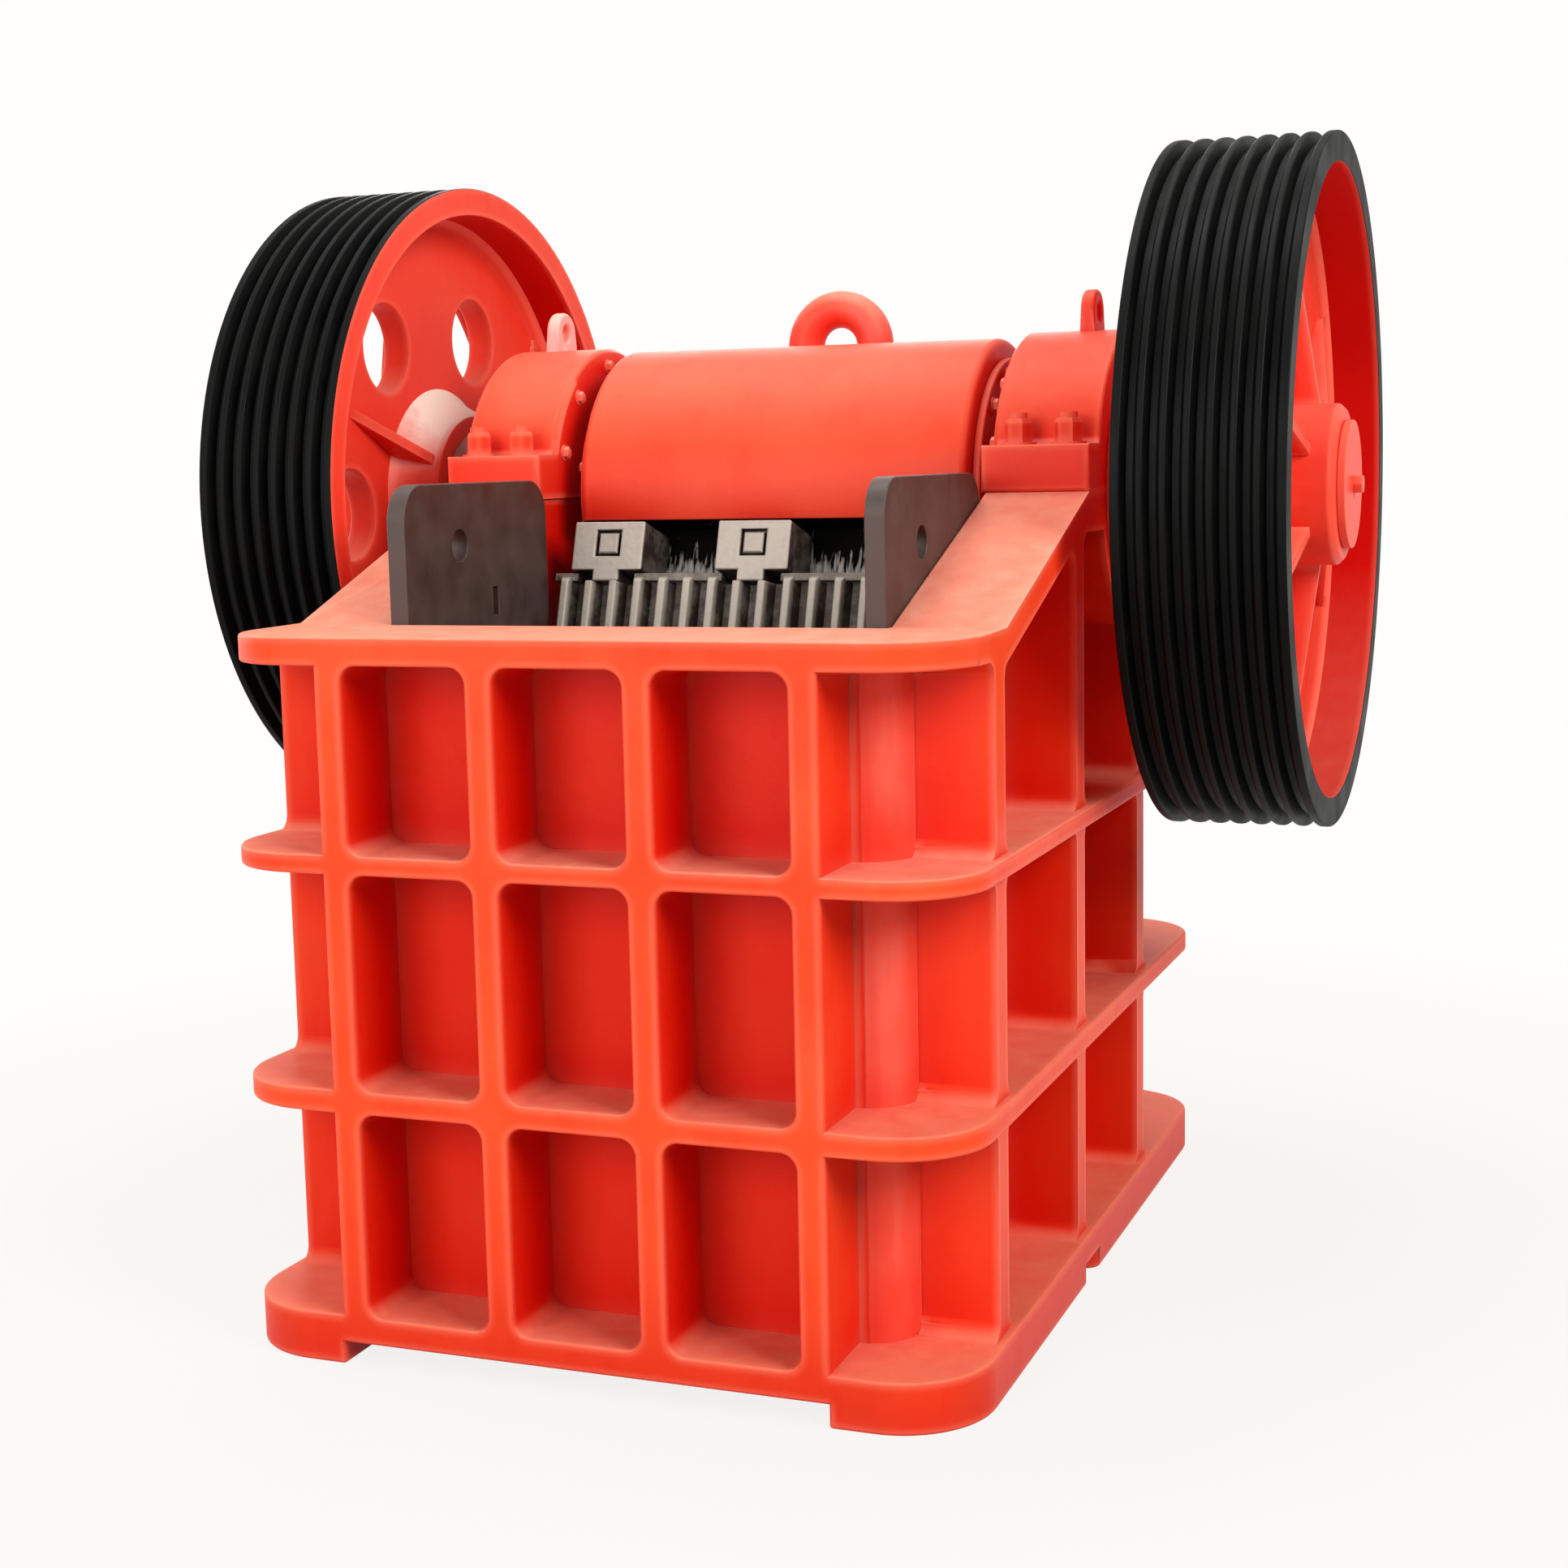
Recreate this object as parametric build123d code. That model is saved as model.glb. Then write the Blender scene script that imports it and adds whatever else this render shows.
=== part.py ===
from build123d import *
import math
import os

# Driving dimensions, in millimetres. A setback is a distance behind the front ribs' faces.

# Frame casting
chamber_half = 350.0
frame_length = 1386.0
flange_reach = 150.0
low_flange_extra = 12.0
side_wall_t = 48.0
end_wall_t = 60.0
pocket_depth = 117.0
pocket_columns = 3
end_rib_t = 36.0
end_rib_inset = 14.0
side_rib_t = 45.0
side_rib_setbacks = (201.0, 606.0, 985.0)
cast_corner_r = 22.0
wall_corner_r = 60.0
flange_corner_r = 120.0

# Flange levels, up from the ground
foot_height = 30.0
base_flange_t = 36.0
low_flange_z = 338.0
low_flange_t = 30.0
mid_flange_z = 650.0
mid_flange_t = 25.0
mid_flange_tail = 14.0
top_z = 952.0
top_flange_t = 36.0
top_flange_depth = 216.0
slope_setback = 236.0
slope_flange_t = 42.0
foot_gap = 44.0
foot_split = 622.0

# Rear wall
rear_wall_top = 560.0
rear_lip_depth = 46.0
rear_lip_t = 30.0
rear_gusset_inset = 12.0

# Shaft and main bearings
shaft_setback = 945.0
shaft_z = 1108.0
seat_half = 283.0
seat_depth = 55.0
housing_r = 204.0
cap_r = 232.0
cap_foot_t = 66.0
cap_chamfer = 8.0
cap_overhang = 6.0
journal_r = 80.0
hub_seat_r = 75.0
collar_r = 105.0
bearing_cover_r = 186.0
bearing_cover_t = 16.0
bearing_cover_gap = 6.0
cover_seat_r = 100.0
throw_r = 104.0
eccentric_throw = 12.0
running_clearance = 0.08
end_play = 2.0

# Lifting lugs on the bearing caps
lug_t = 22.0
lug_width = 66.0
lug_rise = 60.0
lug_shift = 15.0
lug_hole_r = 13.0

# Flywheels
wheel_r = 494.5
wheel_gap = 76.0
wheel_width = 226.0
groove_count = 7
groove_depth = 17.0
groove_floor = 9.0
groove_land = 8.0
edge_land = 12.0
rim_t = 42.0
wheel_fit = 0.05
web_t = 47.0
web_fillet_r = 18.0
web_hole_r = 70.0
web_hole_ring_r = 288.0
web_hole_count = 6
wheel_turn = 4.0
gusset_count = 3
gusset_t = 16.0
gusset_reach = 315.0
wheel_rib_t = 18.0
wheel_rib_rise = 60.0
hub_r = 116.0
hub_chamfer = 9.0
boss_r = 140.0
boss_root_r = 160.0
boss_inset = 24.0
hub_outer_reach = 6.0
end_plate_r = 92.0
end_plate_t = 12.0
retaining_bolt_r = 14.0
retaining_bolt_t = 14.0

# Jaw plates and cheek plates
cheek_t = 27.0
cheek_front = 220.0
cheek_rear = 640.0
cheek_top = 1137.0
cheek_split_z = 560.0
cheek_upright = 260.0
cheek_bottom = 70.0
cheek_corner_r = 50.0
cheek_hole_r = 22.0
cheek_hole_at = (372.0, 1051.0)
cheek_slot = (16.0, 40.0)
cheek_slot_at = (473.0, 968.0)
cheek_split_gap = 1.0
fixed_jaw_clearance = 3.0
tooth_count = 16
tooth_height = 24.0
tooth_tip_share = 0.26
tooth_root_share = 0.26
tooth_chamfer = 13.0
valley_stop = 12.0
valley_stop_inset = 8.0
jaw_backing_t = 38.0
fixed_jaw_bottom = 70.0
fixed_jaw_top_clearance = 2.0

# Swing jaw
swing_jaw_clearance = 7.0
jaw_lean = 18.0
jaw_tip_setback = 640.0
jaw_tip_z = 988.0
jaw_plate_length = 930.0
jaw_plate_rise = 13.0
jaw_plate_notch = 92.0
jaw_panel_t = 50.0
barrel_r = 225.5
barrel_gap = 44.0
barrel_chamfer = 8.0
barrel_bore_r = 126.0
lip_rise = 105.0
lip_recess = 38.0
jaw_web_t = 42.0
jaw_belly_behind = 276.0
jaw_belly_up = -465.0
jaw_heel = 140.0
end_cover_t = 12.0
end_cover_r = 196.0

# Clamp blocks over the moving jaw plate
clamp_edge = 74.0
clamp_width = 114.0
clamp_top = 91.0
clamp_bottom = 17.0
clamp_inset = 3.0
clamp_nose = 42.0
clamp_fit = 0.3
bolt_well = 40.0
bolt_well_depth = 12.0
bolt_well_up = 58.0

# Lifting eye behind the barrel's crown
eye_angle = 31.0
eye_ring_r = 58.0
eye_bar_r = 29.0
eye_rise = 34.7

# Toggle, tension rod and spring
toggle_end_r = 28.0
toggle_t = 40.0
toggle_inset = 51.0
toggle_front = (690.0, 240.0)
toggle_rear_gap = 91.0
toggle_rear_z = 372.0
toggle_fit = 0.3
toggle_seat_half_angle = 48.0
seat_wall = 18.0
rod_r = 16.0
rod_z = 130.0
rod_hole_r = 31.0
rod_start = 625.0
rod_lug_length = 85.0
rod_lug_half = 44.0
spring_length = 100.0
spring_coil_r = 40.0
spring_wire_r = 8.0
spring_turns = 5
spring_crest = 8.0
washer_r = 50.0
washer_t = 9.0
nut_r = 29.0
nut_t = 26.0
rod_tail = 12.0

# Values worked out from the driving dimensions
front_y = -(shaft_setback + wheel_r) / 2
shaft_y = front_y + shaft_setback
flange_half = chamber_half + flange_reach
low_flange_half = flange_half + low_flange_extra
wall_out = chamber_half + side_wall_t
ribs_half = chamber_half - end_rib_inset
pocket_width = (2 * ribs_half - (pocket_columns + 1) * end_rib_t) / pocket_columns
wall_back = pocket_depth + end_wall_t
rear_panel = frame_length - pocket_depth
rear_inner = rear_panel - end_wall_t
base_top = foot_height + base_flange_t
low_top = low_flange_z + low_flange_t
mid_top = mid_flange_z + mid_flange_t
top_under = top_z - top_flange_t
seat_front = shaft_setback - seat_half
seat_rear = shaft_setback + seat_half
cap_in = chamber_half - cap_overhang
wheel_inner_x = flange_half + wheel_gap
wheel_outer_x = wheel_inner_x + wheel_width
hub_start = wheel_inner_x + boss_inset
hub_face = wheel_outer_x + hub_outer_reach
web_inner_x = wheel_inner_x + (wheel_width - web_t) / 2
web_outer_x = web_inner_x + web_t
rim_inner_r = wheel_r - rim_t
barrel_half = chamber_half - barrel_gap
clamp_pitch = barrel_half - clamp_edge
toggle_half_width = barrel_half - toggle_inset
toggle_rear = (rear_inner - toggle_rear_gap, toggle_rear_z)
seat_half_height = toggle_end_r + seat_wall
jaw_plate_t = jaw_backing_t + tooth_height
cheek_in = chamber_half - cheek_t
jaw_width = 2 * (cheek_in - swing_jaw_clearance)
recess_back = jaw_plate_t + lip_recess
shaft_axis = Axis((0, shaft_y, shaft_z), (1, 0, 0))


def block(x0, x1, setback0, setback1, z0, z1):
    """A box between two corners, with its depth given as setbacks."""
    corner = (x0, front_y + setback0, z0)
    size = (x1 - x0, setback1 - setback0, z1 - z0)
    return Location(corner) * Box(*size, align=(Align.MIN, Align.MIN, Align.MIN))


def slab(outline, x0, x1):
    """A side-view outline of (setback, height) points, drawn out from x0 to x1."""
    points = [(front_y + setback, z) for setback, z in outline]
    face = make_face(Polyline(*points, close=True))
    return extrude(Plane.YZ.offset(x0) * face, x1 - x0)


def cast_cell(outline, x0, x1):
    """A slab with every corner of its side-view outline rounded as cast."""
    points = [(front_y + setback, z) for setback, z in outline]
    face = make_face(Polyline(*points, close=True))
    face = fillet(face.vertices(), cast_corner_r)
    return extrude(Plane.YZ.offset(x0) * face, x1 - x0)


def round_bar(x0, x1, radius, setback, z):
    """A cylinder that lies along X."""
    plane = Plane(origin=(x0, front_y + setback, z), x_dir=(0, 1, 0), z_dir=(1, 0, 0))
    return extrude(plane * Circle(radius), x1 - x0)


def turned(profile):
    """A solid of (x, radius) points turned about the shaft's axis."""
    plane = Plane(origin=(0, shaft_y, shaft_z), x_dir=(1, 0, 0), z_dir=(0, -1, 0))
    return revolve(plane * make_face(Polyline(*profile, close=True)), shaft_axis)


def fused(first, *others):
    """One solid from pieces that touch or overlap."""
    whole = first
    for piece in others:
        whole = whole + piece
    return whole


def flange(x0, x1, setback0, setback1, z0, z1, front_r, rear_r):
    """A side flange with its two outer corners rounded in plan."""
    outer = [(x0, setback0), (x1, setback0), (x1, setback1), (x0, setback1)]
    points = [(x, front_y + setback) for x, setback in outer]
    plate = extrude(Plane.XY.offset(z0) * make_face(Polyline(*points, close=True)), z1 - z0)
    edges = plate.edges().filter_by(Axis.Z).group_by(Axis.X)[-1].sort_by(Axis.Y)
    plate = fillet(edges[0:1], front_r)
    edges = plate.edges().filter_by(Axis.Z).sort_by(Axis.Y)
    outer_rear = [edge for edge in edges if edge.center().X > x1 - 1 and edge.center().Y > points[2][1] - 1]
    return fillet(outer_rear, rear_r)


def pocket_grid(levels):
    """Cutters for the pockets between the end wall's ribs and flanges, drawn on the plane Y=0."""
    cutters = []
    pitch = pocket_width + end_rib_t
    for column in range(pocket_columns):
        x = (column - (pocket_columns - 1) / 2) * pitch
        for z0, z1 in levels:
            outline = Pos(x, (z0 + z1) / 2) * RectangleRounded(pocket_width, z1 - z0, cast_corner_r)
            cutters.append(extrude(Plane.XZ * outline, -pocket_depth))
    return cutters


def make_front_wall():
    wall = block(-ribs_half, ribs_half, 0, wall_back, foot_height, top_z)
    rows = [(base_top, low_flange_z), (low_top, mid_flange_z), (mid_top, top_under)]
    for cutter in pocket_grid(rows):
        wall = wall - Pos(0, front_y, 0) * cutter
    panel = block(-chamber_half, chamber_half, pocket_depth, wall_back, foot_height, top_z)
    lip = block(-chamber_half, chamber_half, pocket_depth, top_flange_depth, top_under, top_z)
    ledges = [(foot_height, base_top), (low_flange_z, low_top), (mid_flange_z, mid_top), (top_under, top_z)]
    pieces = [panel, lip]
    for z0, z1 in ledges:
        pieces.append(block(-chamber_half, chamber_half, 0, pocket_depth, z0, z1))
    return fused(wall, *pieces)


def make_rear_wall():
    wall = block(-ribs_half, ribs_half, rear_inner, frame_length, foot_height, low_top)
    for cutter in pocket_grid([(base_top, low_flange_z)]):
        wall = wall - Pos(0, front_y + rear_panel, 0) * cutter
    panel = block(-chamber_half, chamber_half, rear_inner, rear_panel, foot_height, rear_wall_top)
    lip = block(-chamber_half, chamber_half, rear_panel, rear_panel + rear_lip_depth,
                rear_wall_top - rear_lip_t, rear_wall_top)
    pieces = [panel, lip]
    for z0, z1 in [(foot_height, base_top), (low_flange_z, low_top)]:
        pieces.append(block(-chamber_half, chamber_half, rear_panel, frame_length, z0, z1))
    gusset = [(rear_panel, low_top), (frame_length - rear_gusset_inset, low_top),
              (rear_panel + rear_lip_depth, rear_wall_top - rear_lip_t),
               (rear_panel, rear_wall_top - rear_lip_t)]
    for rib in range(pocket_columns + 1):
        x = -ribs_half + rib * (pocket_width + end_rib_t)
        pieces.append(slab(gusset, x, x + end_rib_t))
    wall = fused(wall, *pieces)
    hole_plane = Plane(origin=(0, front_y + rear_inner, rod_z), x_dir=(1, 0, 0), z_dir=(0, 1, 0))
    return wall - extrude(hole_plane * Circle(rod_hole_r), end_wall_t)


def slope_height(setback):
    """Height of the sloping flange's top face at a setback."""
    rise = (shaft_z - top_z) / (seat_front - slope_setback)
    return top_z + (setback - slope_setback) * rise


def side_cells():
    """Outlines of the hollows between the side wall's ribs and flanges."""
    half = side_rib_t / 2
    first, middle, last = side_rib_setbacks
    past = 2 * cast_corner_r
    seat_under = shaft_z - seat_depth
    rows = [(base_top, low_flange_z), (low_top, mid_flange_z)]
    cells = []
    for start, end in ((-past, first - half), (first + half, middle - half), (middle + half, last - half)):
        for z0, z1 in rows:
            cells.append([(start, z0), (end, z0), (end, z1), (start, z1)])
        roof = [min(slope_height(setback) - slope_flange_t, seat_under) for setback in (start, end)]
        if end < slope_setback:
            roof = [top_under, top_under]
        cells.append([(start, mid_top), (end, mid_top), (end, roof[1]), (start, roof[0])])
    rear = frame_length + past
    cells.append([(last + half, base_top), (rear, base_top), (rear, low_flange_z), (last + half, low_flange_z)])
    cells.append([(last + half, low_top), (rear, low_top), (rear, seat_under), (last + half, seat_under)])
    return cells


def make_right_side_wall():
    seat_under = shaft_z - seat_depth
    seat_middle = shaft_z - seat_depth / 2
    wall = slab([(pocket_depth, foot_height), (pocket_depth, top_under),
                 (slope_setback, top_z - slope_flange_t / 2), (seat_front, shaft_z - slope_flange_t / 2),
                 (seat_front, seat_middle), (seat_rear, seat_middle),
                 (seat_rear, seat_under), (rear_panel, rear_wall_top), (rear_panel, foot_height)],
                chamber_half, flange_half)
    for outline in side_cells():
        wall = wall - cast_cell(outline, wall_out, flange_half)
    corner = block(chamber_half, wall_out, pocket_depth, pocket_depth + wall_corner_r, foot_height, top_z)
    corner_centre = (wall_out - wall_corner_r, front_y + pocket_depth + wall_corner_r)
    post = extrude(Plane.XY * Pos(*corner_centre) * Circle(wall_corner_r), top_z)
    wall = wall - (corner - post)
    small_r = side_rib_t / 2
    tail = side_rib_setbacks[-1] + side_rib_t / 2 + mid_flange_tail
    pieces = [
        flange(chamber_half, low_flange_half, 0, frame_length, foot_height, base_top,
               flange_corner_r, flange_corner_r),
        flange(chamber_half, low_flange_half, 0, frame_length, low_flange_z, low_top,
               flange_corner_r, flange_corner_r),
        flange(chamber_half, low_flange_half, 0, tail, mid_flange_z, mid_top, flange_corner_r, small_r),
        flange(ribs_half, low_flange_half, 0, foot_split - foot_gap / 2, 0, foot_height,
               flange_corner_r, small_r),
        flange(ribs_half, low_flange_half, foot_split + foot_gap / 2, frame_length, 0, foot_height,
               small_r, flange_corner_r),
    ]
    top_ledge = block(chamber_half, flange_half, 0, slope_setback, top_under, top_z)
    front_corner = top_ledge.edges().filter_by(Axis.Z).group_by(Axis.X)[-1].sort_by(Axis.Y)[0:1]
    pieces.append(fillet(front_corner, flange_corner_r))
    pieces.append(slab([(slope_setback, top_z), (seat_front, shaft_z), (seat_front, shaft_z - slope_flange_t),
                        (slope_setback, top_z - slope_flange_t)], chamber_half, flange_half))
    pieces.append(slab([(seat_front, shaft_z), (seat_rear, shaft_z), (seat_rear, seat_under),
                        (seat_front, seat_under)], chamber_half, flange_half))
    housing = round_bar(chamber_half, flange_half, housing_r, shaft_setback, shaft_z)
    cap_room = block(chamber_half, flange_half, seat_front, seat_rear, shaft_z, shaft_z + housing_r)
    pieces.append(housing - cap_room)
    wall = fused(wall, *pieces)
    return wall - round_bar(chamber_half, flange_half, journal_r + running_clearance, shaft_setback, shaft_z)


def make_right_cap():
    foot = slab([(seat_front, shaft_z), (seat_rear, shaft_z), (seat_rear, shaft_z + cap_foot_t),
                 (seat_front, shaft_z + cap_foot_t)], cap_in, flange_half)
    dome = round_bar(cap_in, flange_half, cap_r, shaft_setback, shaft_z)
    inner_rim = dome.edges().filter_by(GeomType.CIRCLE).sort_by(Axis.X)[0:1]
    dome = chamfer(inner_rim, cap_chamfer)
    dome = dome - block(cap_in, flange_half, seat_front, seat_rear, shaft_z - cap_r, shaft_z)
    lug_x = (cap_in + flange_half) / 2 + lug_shift
    crown_z = shaft_z + cap_r
    lug_end_z = crown_z + lug_rise - lug_width / 2
    lug = block(lug_x - lug_t / 2, lug_x + lug_t / 2, shaft_setback - lug_width / 2,
                shaft_setback + lug_width / 2, crown_z - lug_width / 4, lug_end_z)
    lug_end = round_bar(lug_x - lug_t / 2, lug_x + lug_t / 2, lug_width / 2, shaft_setback, lug_end_z)
    lug_hole = round_bar(lug_x - lug_t / 2, lug_x + lug_t / 2, lug_hole_r, shaft_setback, lug_end_z)
    cap = fused(dome, foot, lug, lug_end) - lug_hole
    return cap - round_bar(cap_in, flange_half, journal_r + running_clearance, shaft_setback, shaft_z)


def make_right_bearing_cover():
    """The ring outside the main bearing, around the shaft's collar."""
    start, end = flange_half, flange_half + bearing_cover_t
    bore = collar_r + bearing_cover_gap
    slant = bearing_cover_t / 2
    return turned([(start, bore), (start, bearing_cover_r), (start + slant, bearing_cover_r),
                   (end, bearing_cover_r - slant), (end, bore)])


def make_right_upper_cheek():
    plate = slab([(cheek_front, cheek_split_z), (cheek_front, cheek_top), (cheek_rear, cheek_top),
                  (cheek_rear, cheek_top - cheek_upright), (cheek_waist(), cheek_split_z)],
                 cheek_in, chamber_half)
    corners = plate.edges().filter_by(Axis.X).sort_by(Axis.Z)[-2:]
    plate = fillet(corners, cheek_corner_r)
    hole = round_bar(cheek_in, chamber_half, cheek_hole_r, *cheek_hole_at)
    slot_width, slot_height = cheek_slot
    slot_setback, slot_z = cheek_slot_at
    slot = block(cheek_in, chamber_half, slot_setback - slot_width / 2, slot_setback + slot_width / 2,
                 slot_z - slot_height / 2, slot_z + slot_height / 2)
    return plate - hole - slot


def cheek_waist():
    """Setback of the cheek plates' rear edge where the two plates meet."""
    return cheek_rear - (cheek_top - cheek_upright - cheek_split_z) * math.tan(math.radians(jaw_lean))


def make_right_lower_cheek():
    top = cheek_split_z - cheek_split_gap
    run = (top - cheek_bottom) * math.tan(math.radians(jaw_lean))
    return slab([(cheek_front, cheek_bottom), (cheek_front, top), (cheek_waist(), top),
                 (cheek_waist() - run, cheek_bottom)], cheek_in, chamber_half)


def toothed_plate(width, length):
    """A jaw plate with its tooth tips on the plane Y=0, its back behind and its top at Z=0."""
    pitch = width / tooth_count
    half_tip = pitch * tooth_tip_share / 2
    half_root = pitch * tooth_root_share / 2
    points = [(-width / 2, jaw_plate_t), (-width / 2, tooth_height)]
    for tooth in range(tooth_count):
        x = -width / 2 + (tooth + 0.5) * pitch
        points.append((x - pitch / 2 + half_root, tooth_height))
        points.append((x - half_tip, 0))
        points.append((x + half_tip, 0))
        points.append((x + pitch / 2 - half_root, tooth_height))
    points.append((width / 2, tooth_height))
    points.append((width / 2, jaw_plate_t))
    plate = extrude(Plane.XY * make_face(Polyline(*points, close=True)), -length)
    for end, inward in ((0, -tooth_chamfer), (-length, tooth_chamfer)):
        corner = make_face(Polyline((0, end), (tooth_chamfer, end), (0, end + inward), close=True))
        plate = plate - extrude(Plane.YZ.offset(-width / 2) * corner, width)
    return plate


def make_fixed_jaw_plate():
    top = top_under - fixed_jaw_top_clearance
    width = 2 * (cheek_in - fixed_jaw_clearance)
    plate = toothed_plate(width, top - fixed_jaw_bottom)
    return Location((0, front_y + wall_back + jaw_plate_t, top), (0, 0, 180)) * plate


def jaw_point(behind, up):
    """Setback and height of a point behind the tooth tips and up along the jaw."""
    lean = math.radians(jaw_lean)
    setback = jaw_tip_setback + behind * math.cos(lean) + up * math.sin(lean)
    return setback, jaw_tip_z - behind * math.sin(lean) + up * math.cos(lean)


def jaw_place_of(setback, z):
    """The (behind, up) place, on the leaning jaw, of a point given by setback and height."""
    lean = math.radians(jaw_lean)
    across, above = setback - jaw_tip_setback, z - jaw_tip_z
    return across * math.cos(lean) - above * math.sin(lean), across * math.sin(lean) + above * math.cos(lean)


def jaw_slab(outline, x0, x1):
    """A slab whose outline is given as (behind, up) points of the leaning jaw."""
    return slab([jaw_point(behind, up) for behind, up in outline], x0, x1)


def make_swing_jaw():
    back = jaw_plate_t + jaw_panel_t
    bottom = -jaw_plate_length
    barrel = round_bar(-barrel_half, barrel_half, barrel_r, shaft_setback, shaft_z)
    barrel = chamfer(barrel.edges().filter_by(GeomType.CIRCLE), barrel_chamfer)
    panel = jaw_slab([(jaw_plate_t, bottom), (jaw_plate_t, lip_rise), (back + lip_recess, lip_rise),
                      (back + lip_recess, 0), (back, -lip_rise), (back, bottom)], -barrel_half, barrel_half)
    toggle_behind, toggle_up = jaw_place_of(*toggle_front)
    bed = toggle_behind - seat_half_height
    web_outline = [(recess_back, lip_rise), (barrel_r + back, lip_rise), (jaw_belly_behind, jaw_belly_up),
                   (bed, toggle_up + seat_half_height), (bed, toggle_up - jaw_heel), (back, bottom)]
    body = fused(barrel, panel)
    for x in (-barrel_half + jaw_web_t / 2, 0, barrel_half - jaw_web_t / 2):
        body = body + jaw_slab(web_outline, x - jaw_web_t / 2, x + jaw_web_t / 2)
    recess_profile = [(0, 0), (0, lip_rise), (recess_back, lip_rise), (recess_back, 0)]
    recess = jaw_slab(recess_profile, -barrel_half, barrel_half)
    lug = block(-rod_lug_half, rod_lug_half, rod_start - rod_lug_length, rod_start,
                rod_z - rod_lug_half, rod_z + rod_lug_half)
    body = body - recess + lug
    return body - round_bar(-barrel_half, barrel_half, barrel_bore_r, shaft_setback, shaft_z)


def make_moving_jaw_plate():
    """The moving plate, its valleys stopped below the top edge, notched where the clamps' noses press on it."""
    top_setback, top_height = jaw_point(0, jaw_plate_rise)
    place = Location((0, front_y + top_setback, top_height), (-jaw_lean, 0, 0))
    plate = place * toothed_plate(jaw_width, jaw_plate_length + jaw_plate_rise)
    stop_low = jaw_plate_rise - valley_stop
    plate = plate + jaw_slab([(valley_stop_inset, stop_low), (valley_stop_inset, jaw_plate_rise),
                              (jaw_plate_t, jaw_plate_rise), (jaw_plate_t, stop_low)],
                             -jaw_width / 2, jaw_width / 2)
    for x in (-clamp_pitch, 0, clamp_pitch):
        plate = plate - jaw_slab([(0, 0), (0, jaw_plate_rise), (jaw_plate_t, jaw_plate_rise), (jaw_plate_t, 0)],
                                 x - jaw_plate_notch / 2, x + jaw_plate_notch / 2)
    return plate


def toggle_seat(centre, towards, depth):
    """A seat block behind a toggle end, hollowed to fit the end's round nose."""
    angle = math.degrees(math.atan2(towards[1] - centre[1], towards[0] - centre[0]))
    mouth = toggle_end_r * math.cos(math.radians(toggle_seat_half_angle))
    height = 2 * seat_half_height
    plane = Plane.YZ.offset(-toggle_half_width) * Pos(front_y + centre[0], centre[1]) * Rot(0, 0, angle)
    body = Pos(-mouth - depth / 2, 0) * Rectangle(depth, height)
    return extrude(plane * (body - Circle(toggle_end_r + toggle_fit)), 2 * toggle_half_width)


def make_jaw_toggle_seat(jaw):
    """The toggle's front seat, cut to bed on the swing jaw's webs."""
    return toggle_seat(toggle_front, toggle_rear, seat_half_height) - jaw


def make_rear_toggle_seat():
    seat = toggle_seat(toggle_rear, toggle_front, rear_inner - toggle_rear[0] + toggle_end_r)
    behind = block(-chamber_half, chamber_half, rear_inner, frame_length, foot_height, shaft_z)
    return seat - behind


def make_toggle_plate():
    (front, low), (rear, high) = toggle_front, toggle_rear
    length = math.hypot(rear - front, high - low)
    angle = math.degrees(math.atan2(high - low, rear - front))
    plane = Plane.YZ.offset(-toggle_half_width) * Pos(front_y + front, low) * Rot(0, 0, angle)
    section = Circle(toggle_end_r) + Pos(length, 0) * Circle(toggle_end_r)
    section = section + Pos(length / 2, 0) * Rectangle(length, toggle_t)
    return extrude(plane * section, 2 * toggle_half_width)


def rod_plane(setback):
    return Plane(origin=(0, front_y + setback, rod_z), x_dir=(1, 0, 0), z_dir=(0, 1, 0))


def make_tension_rod():
    nut_start = rear_panel + spring_length + washer_t
    rod_end = nut_start + nut_t + rod_tail
    rod = extrude(rod_plane(rod_start) * Circle(rod_r), rod_end - rod_start)
    washer = extrude(rod_plane(rear_panel + spring_length) * Circle(washer_r), washer_t)
    nut = extrude(rod_plane(nut_start) * RegularPolygon(nut_r, 6), nut_t)
    return fused(rod, washer, nut)


def make_tension_spring():
    """The spring's coils as rings that lie one against the next."""
    ring_pitch = spring_length / spring_turns
    plane = Plane(origin=(0, front_y + rear_panel, rod_z), x_dir=(0, 1, 0), z_dir=(1, 0, 0))
    inner = spring_coil_r - spring_wire_r
    points = [(0, inner)]
    for turn in range(spring_turns):
        middle = (turn + 0.5) * ring_pitch
        points.append((turn * ring_pitch, spring_coil_r))
        points.append((middle - spring_crest / 2, spring_coil_r + spring_wire_r))
        points.append((middle + spring_crest / 2, spring_coil_r + spring_wire_r))
    points.append((spring_length, spring_coil_r))
    points.append((spring_length, inner))
    axis = Axis((0, front_y + rear_panel, rod_z), (0, 1, 0))
    return revolve(plane * make_face(Polyline(*points, close=True)), axis)


def make_right_end_cover():
    ring = round_bar(barrel_half, barrel_half + end_cover_t, end_cover_r, shaft_setback, shaft_z)
    bore = cover_seat_r + running_clearance
    return ring - round_bar(barrel_half, barrel_half + end_cover_t, bore, shaft_setback, shaft_z)


def make_lifting_eye():
    behind_crown = math.radians(eye_angle)
    eye_y = shaft_y + barrel_r * math.sin(behind_crown)
    eye_z = shaft_z + barrel_r * math.cos(behind_crown) + eye_rise
    ring = Location((0, eye_y, eye_z), (90, 0, 0)) * Torus(eye_ring_r, eye_bar_r)
    return ring - round_bar(-barrel_half, barrel_half, barrel_r, shaft_setback, shaft_z)


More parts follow.
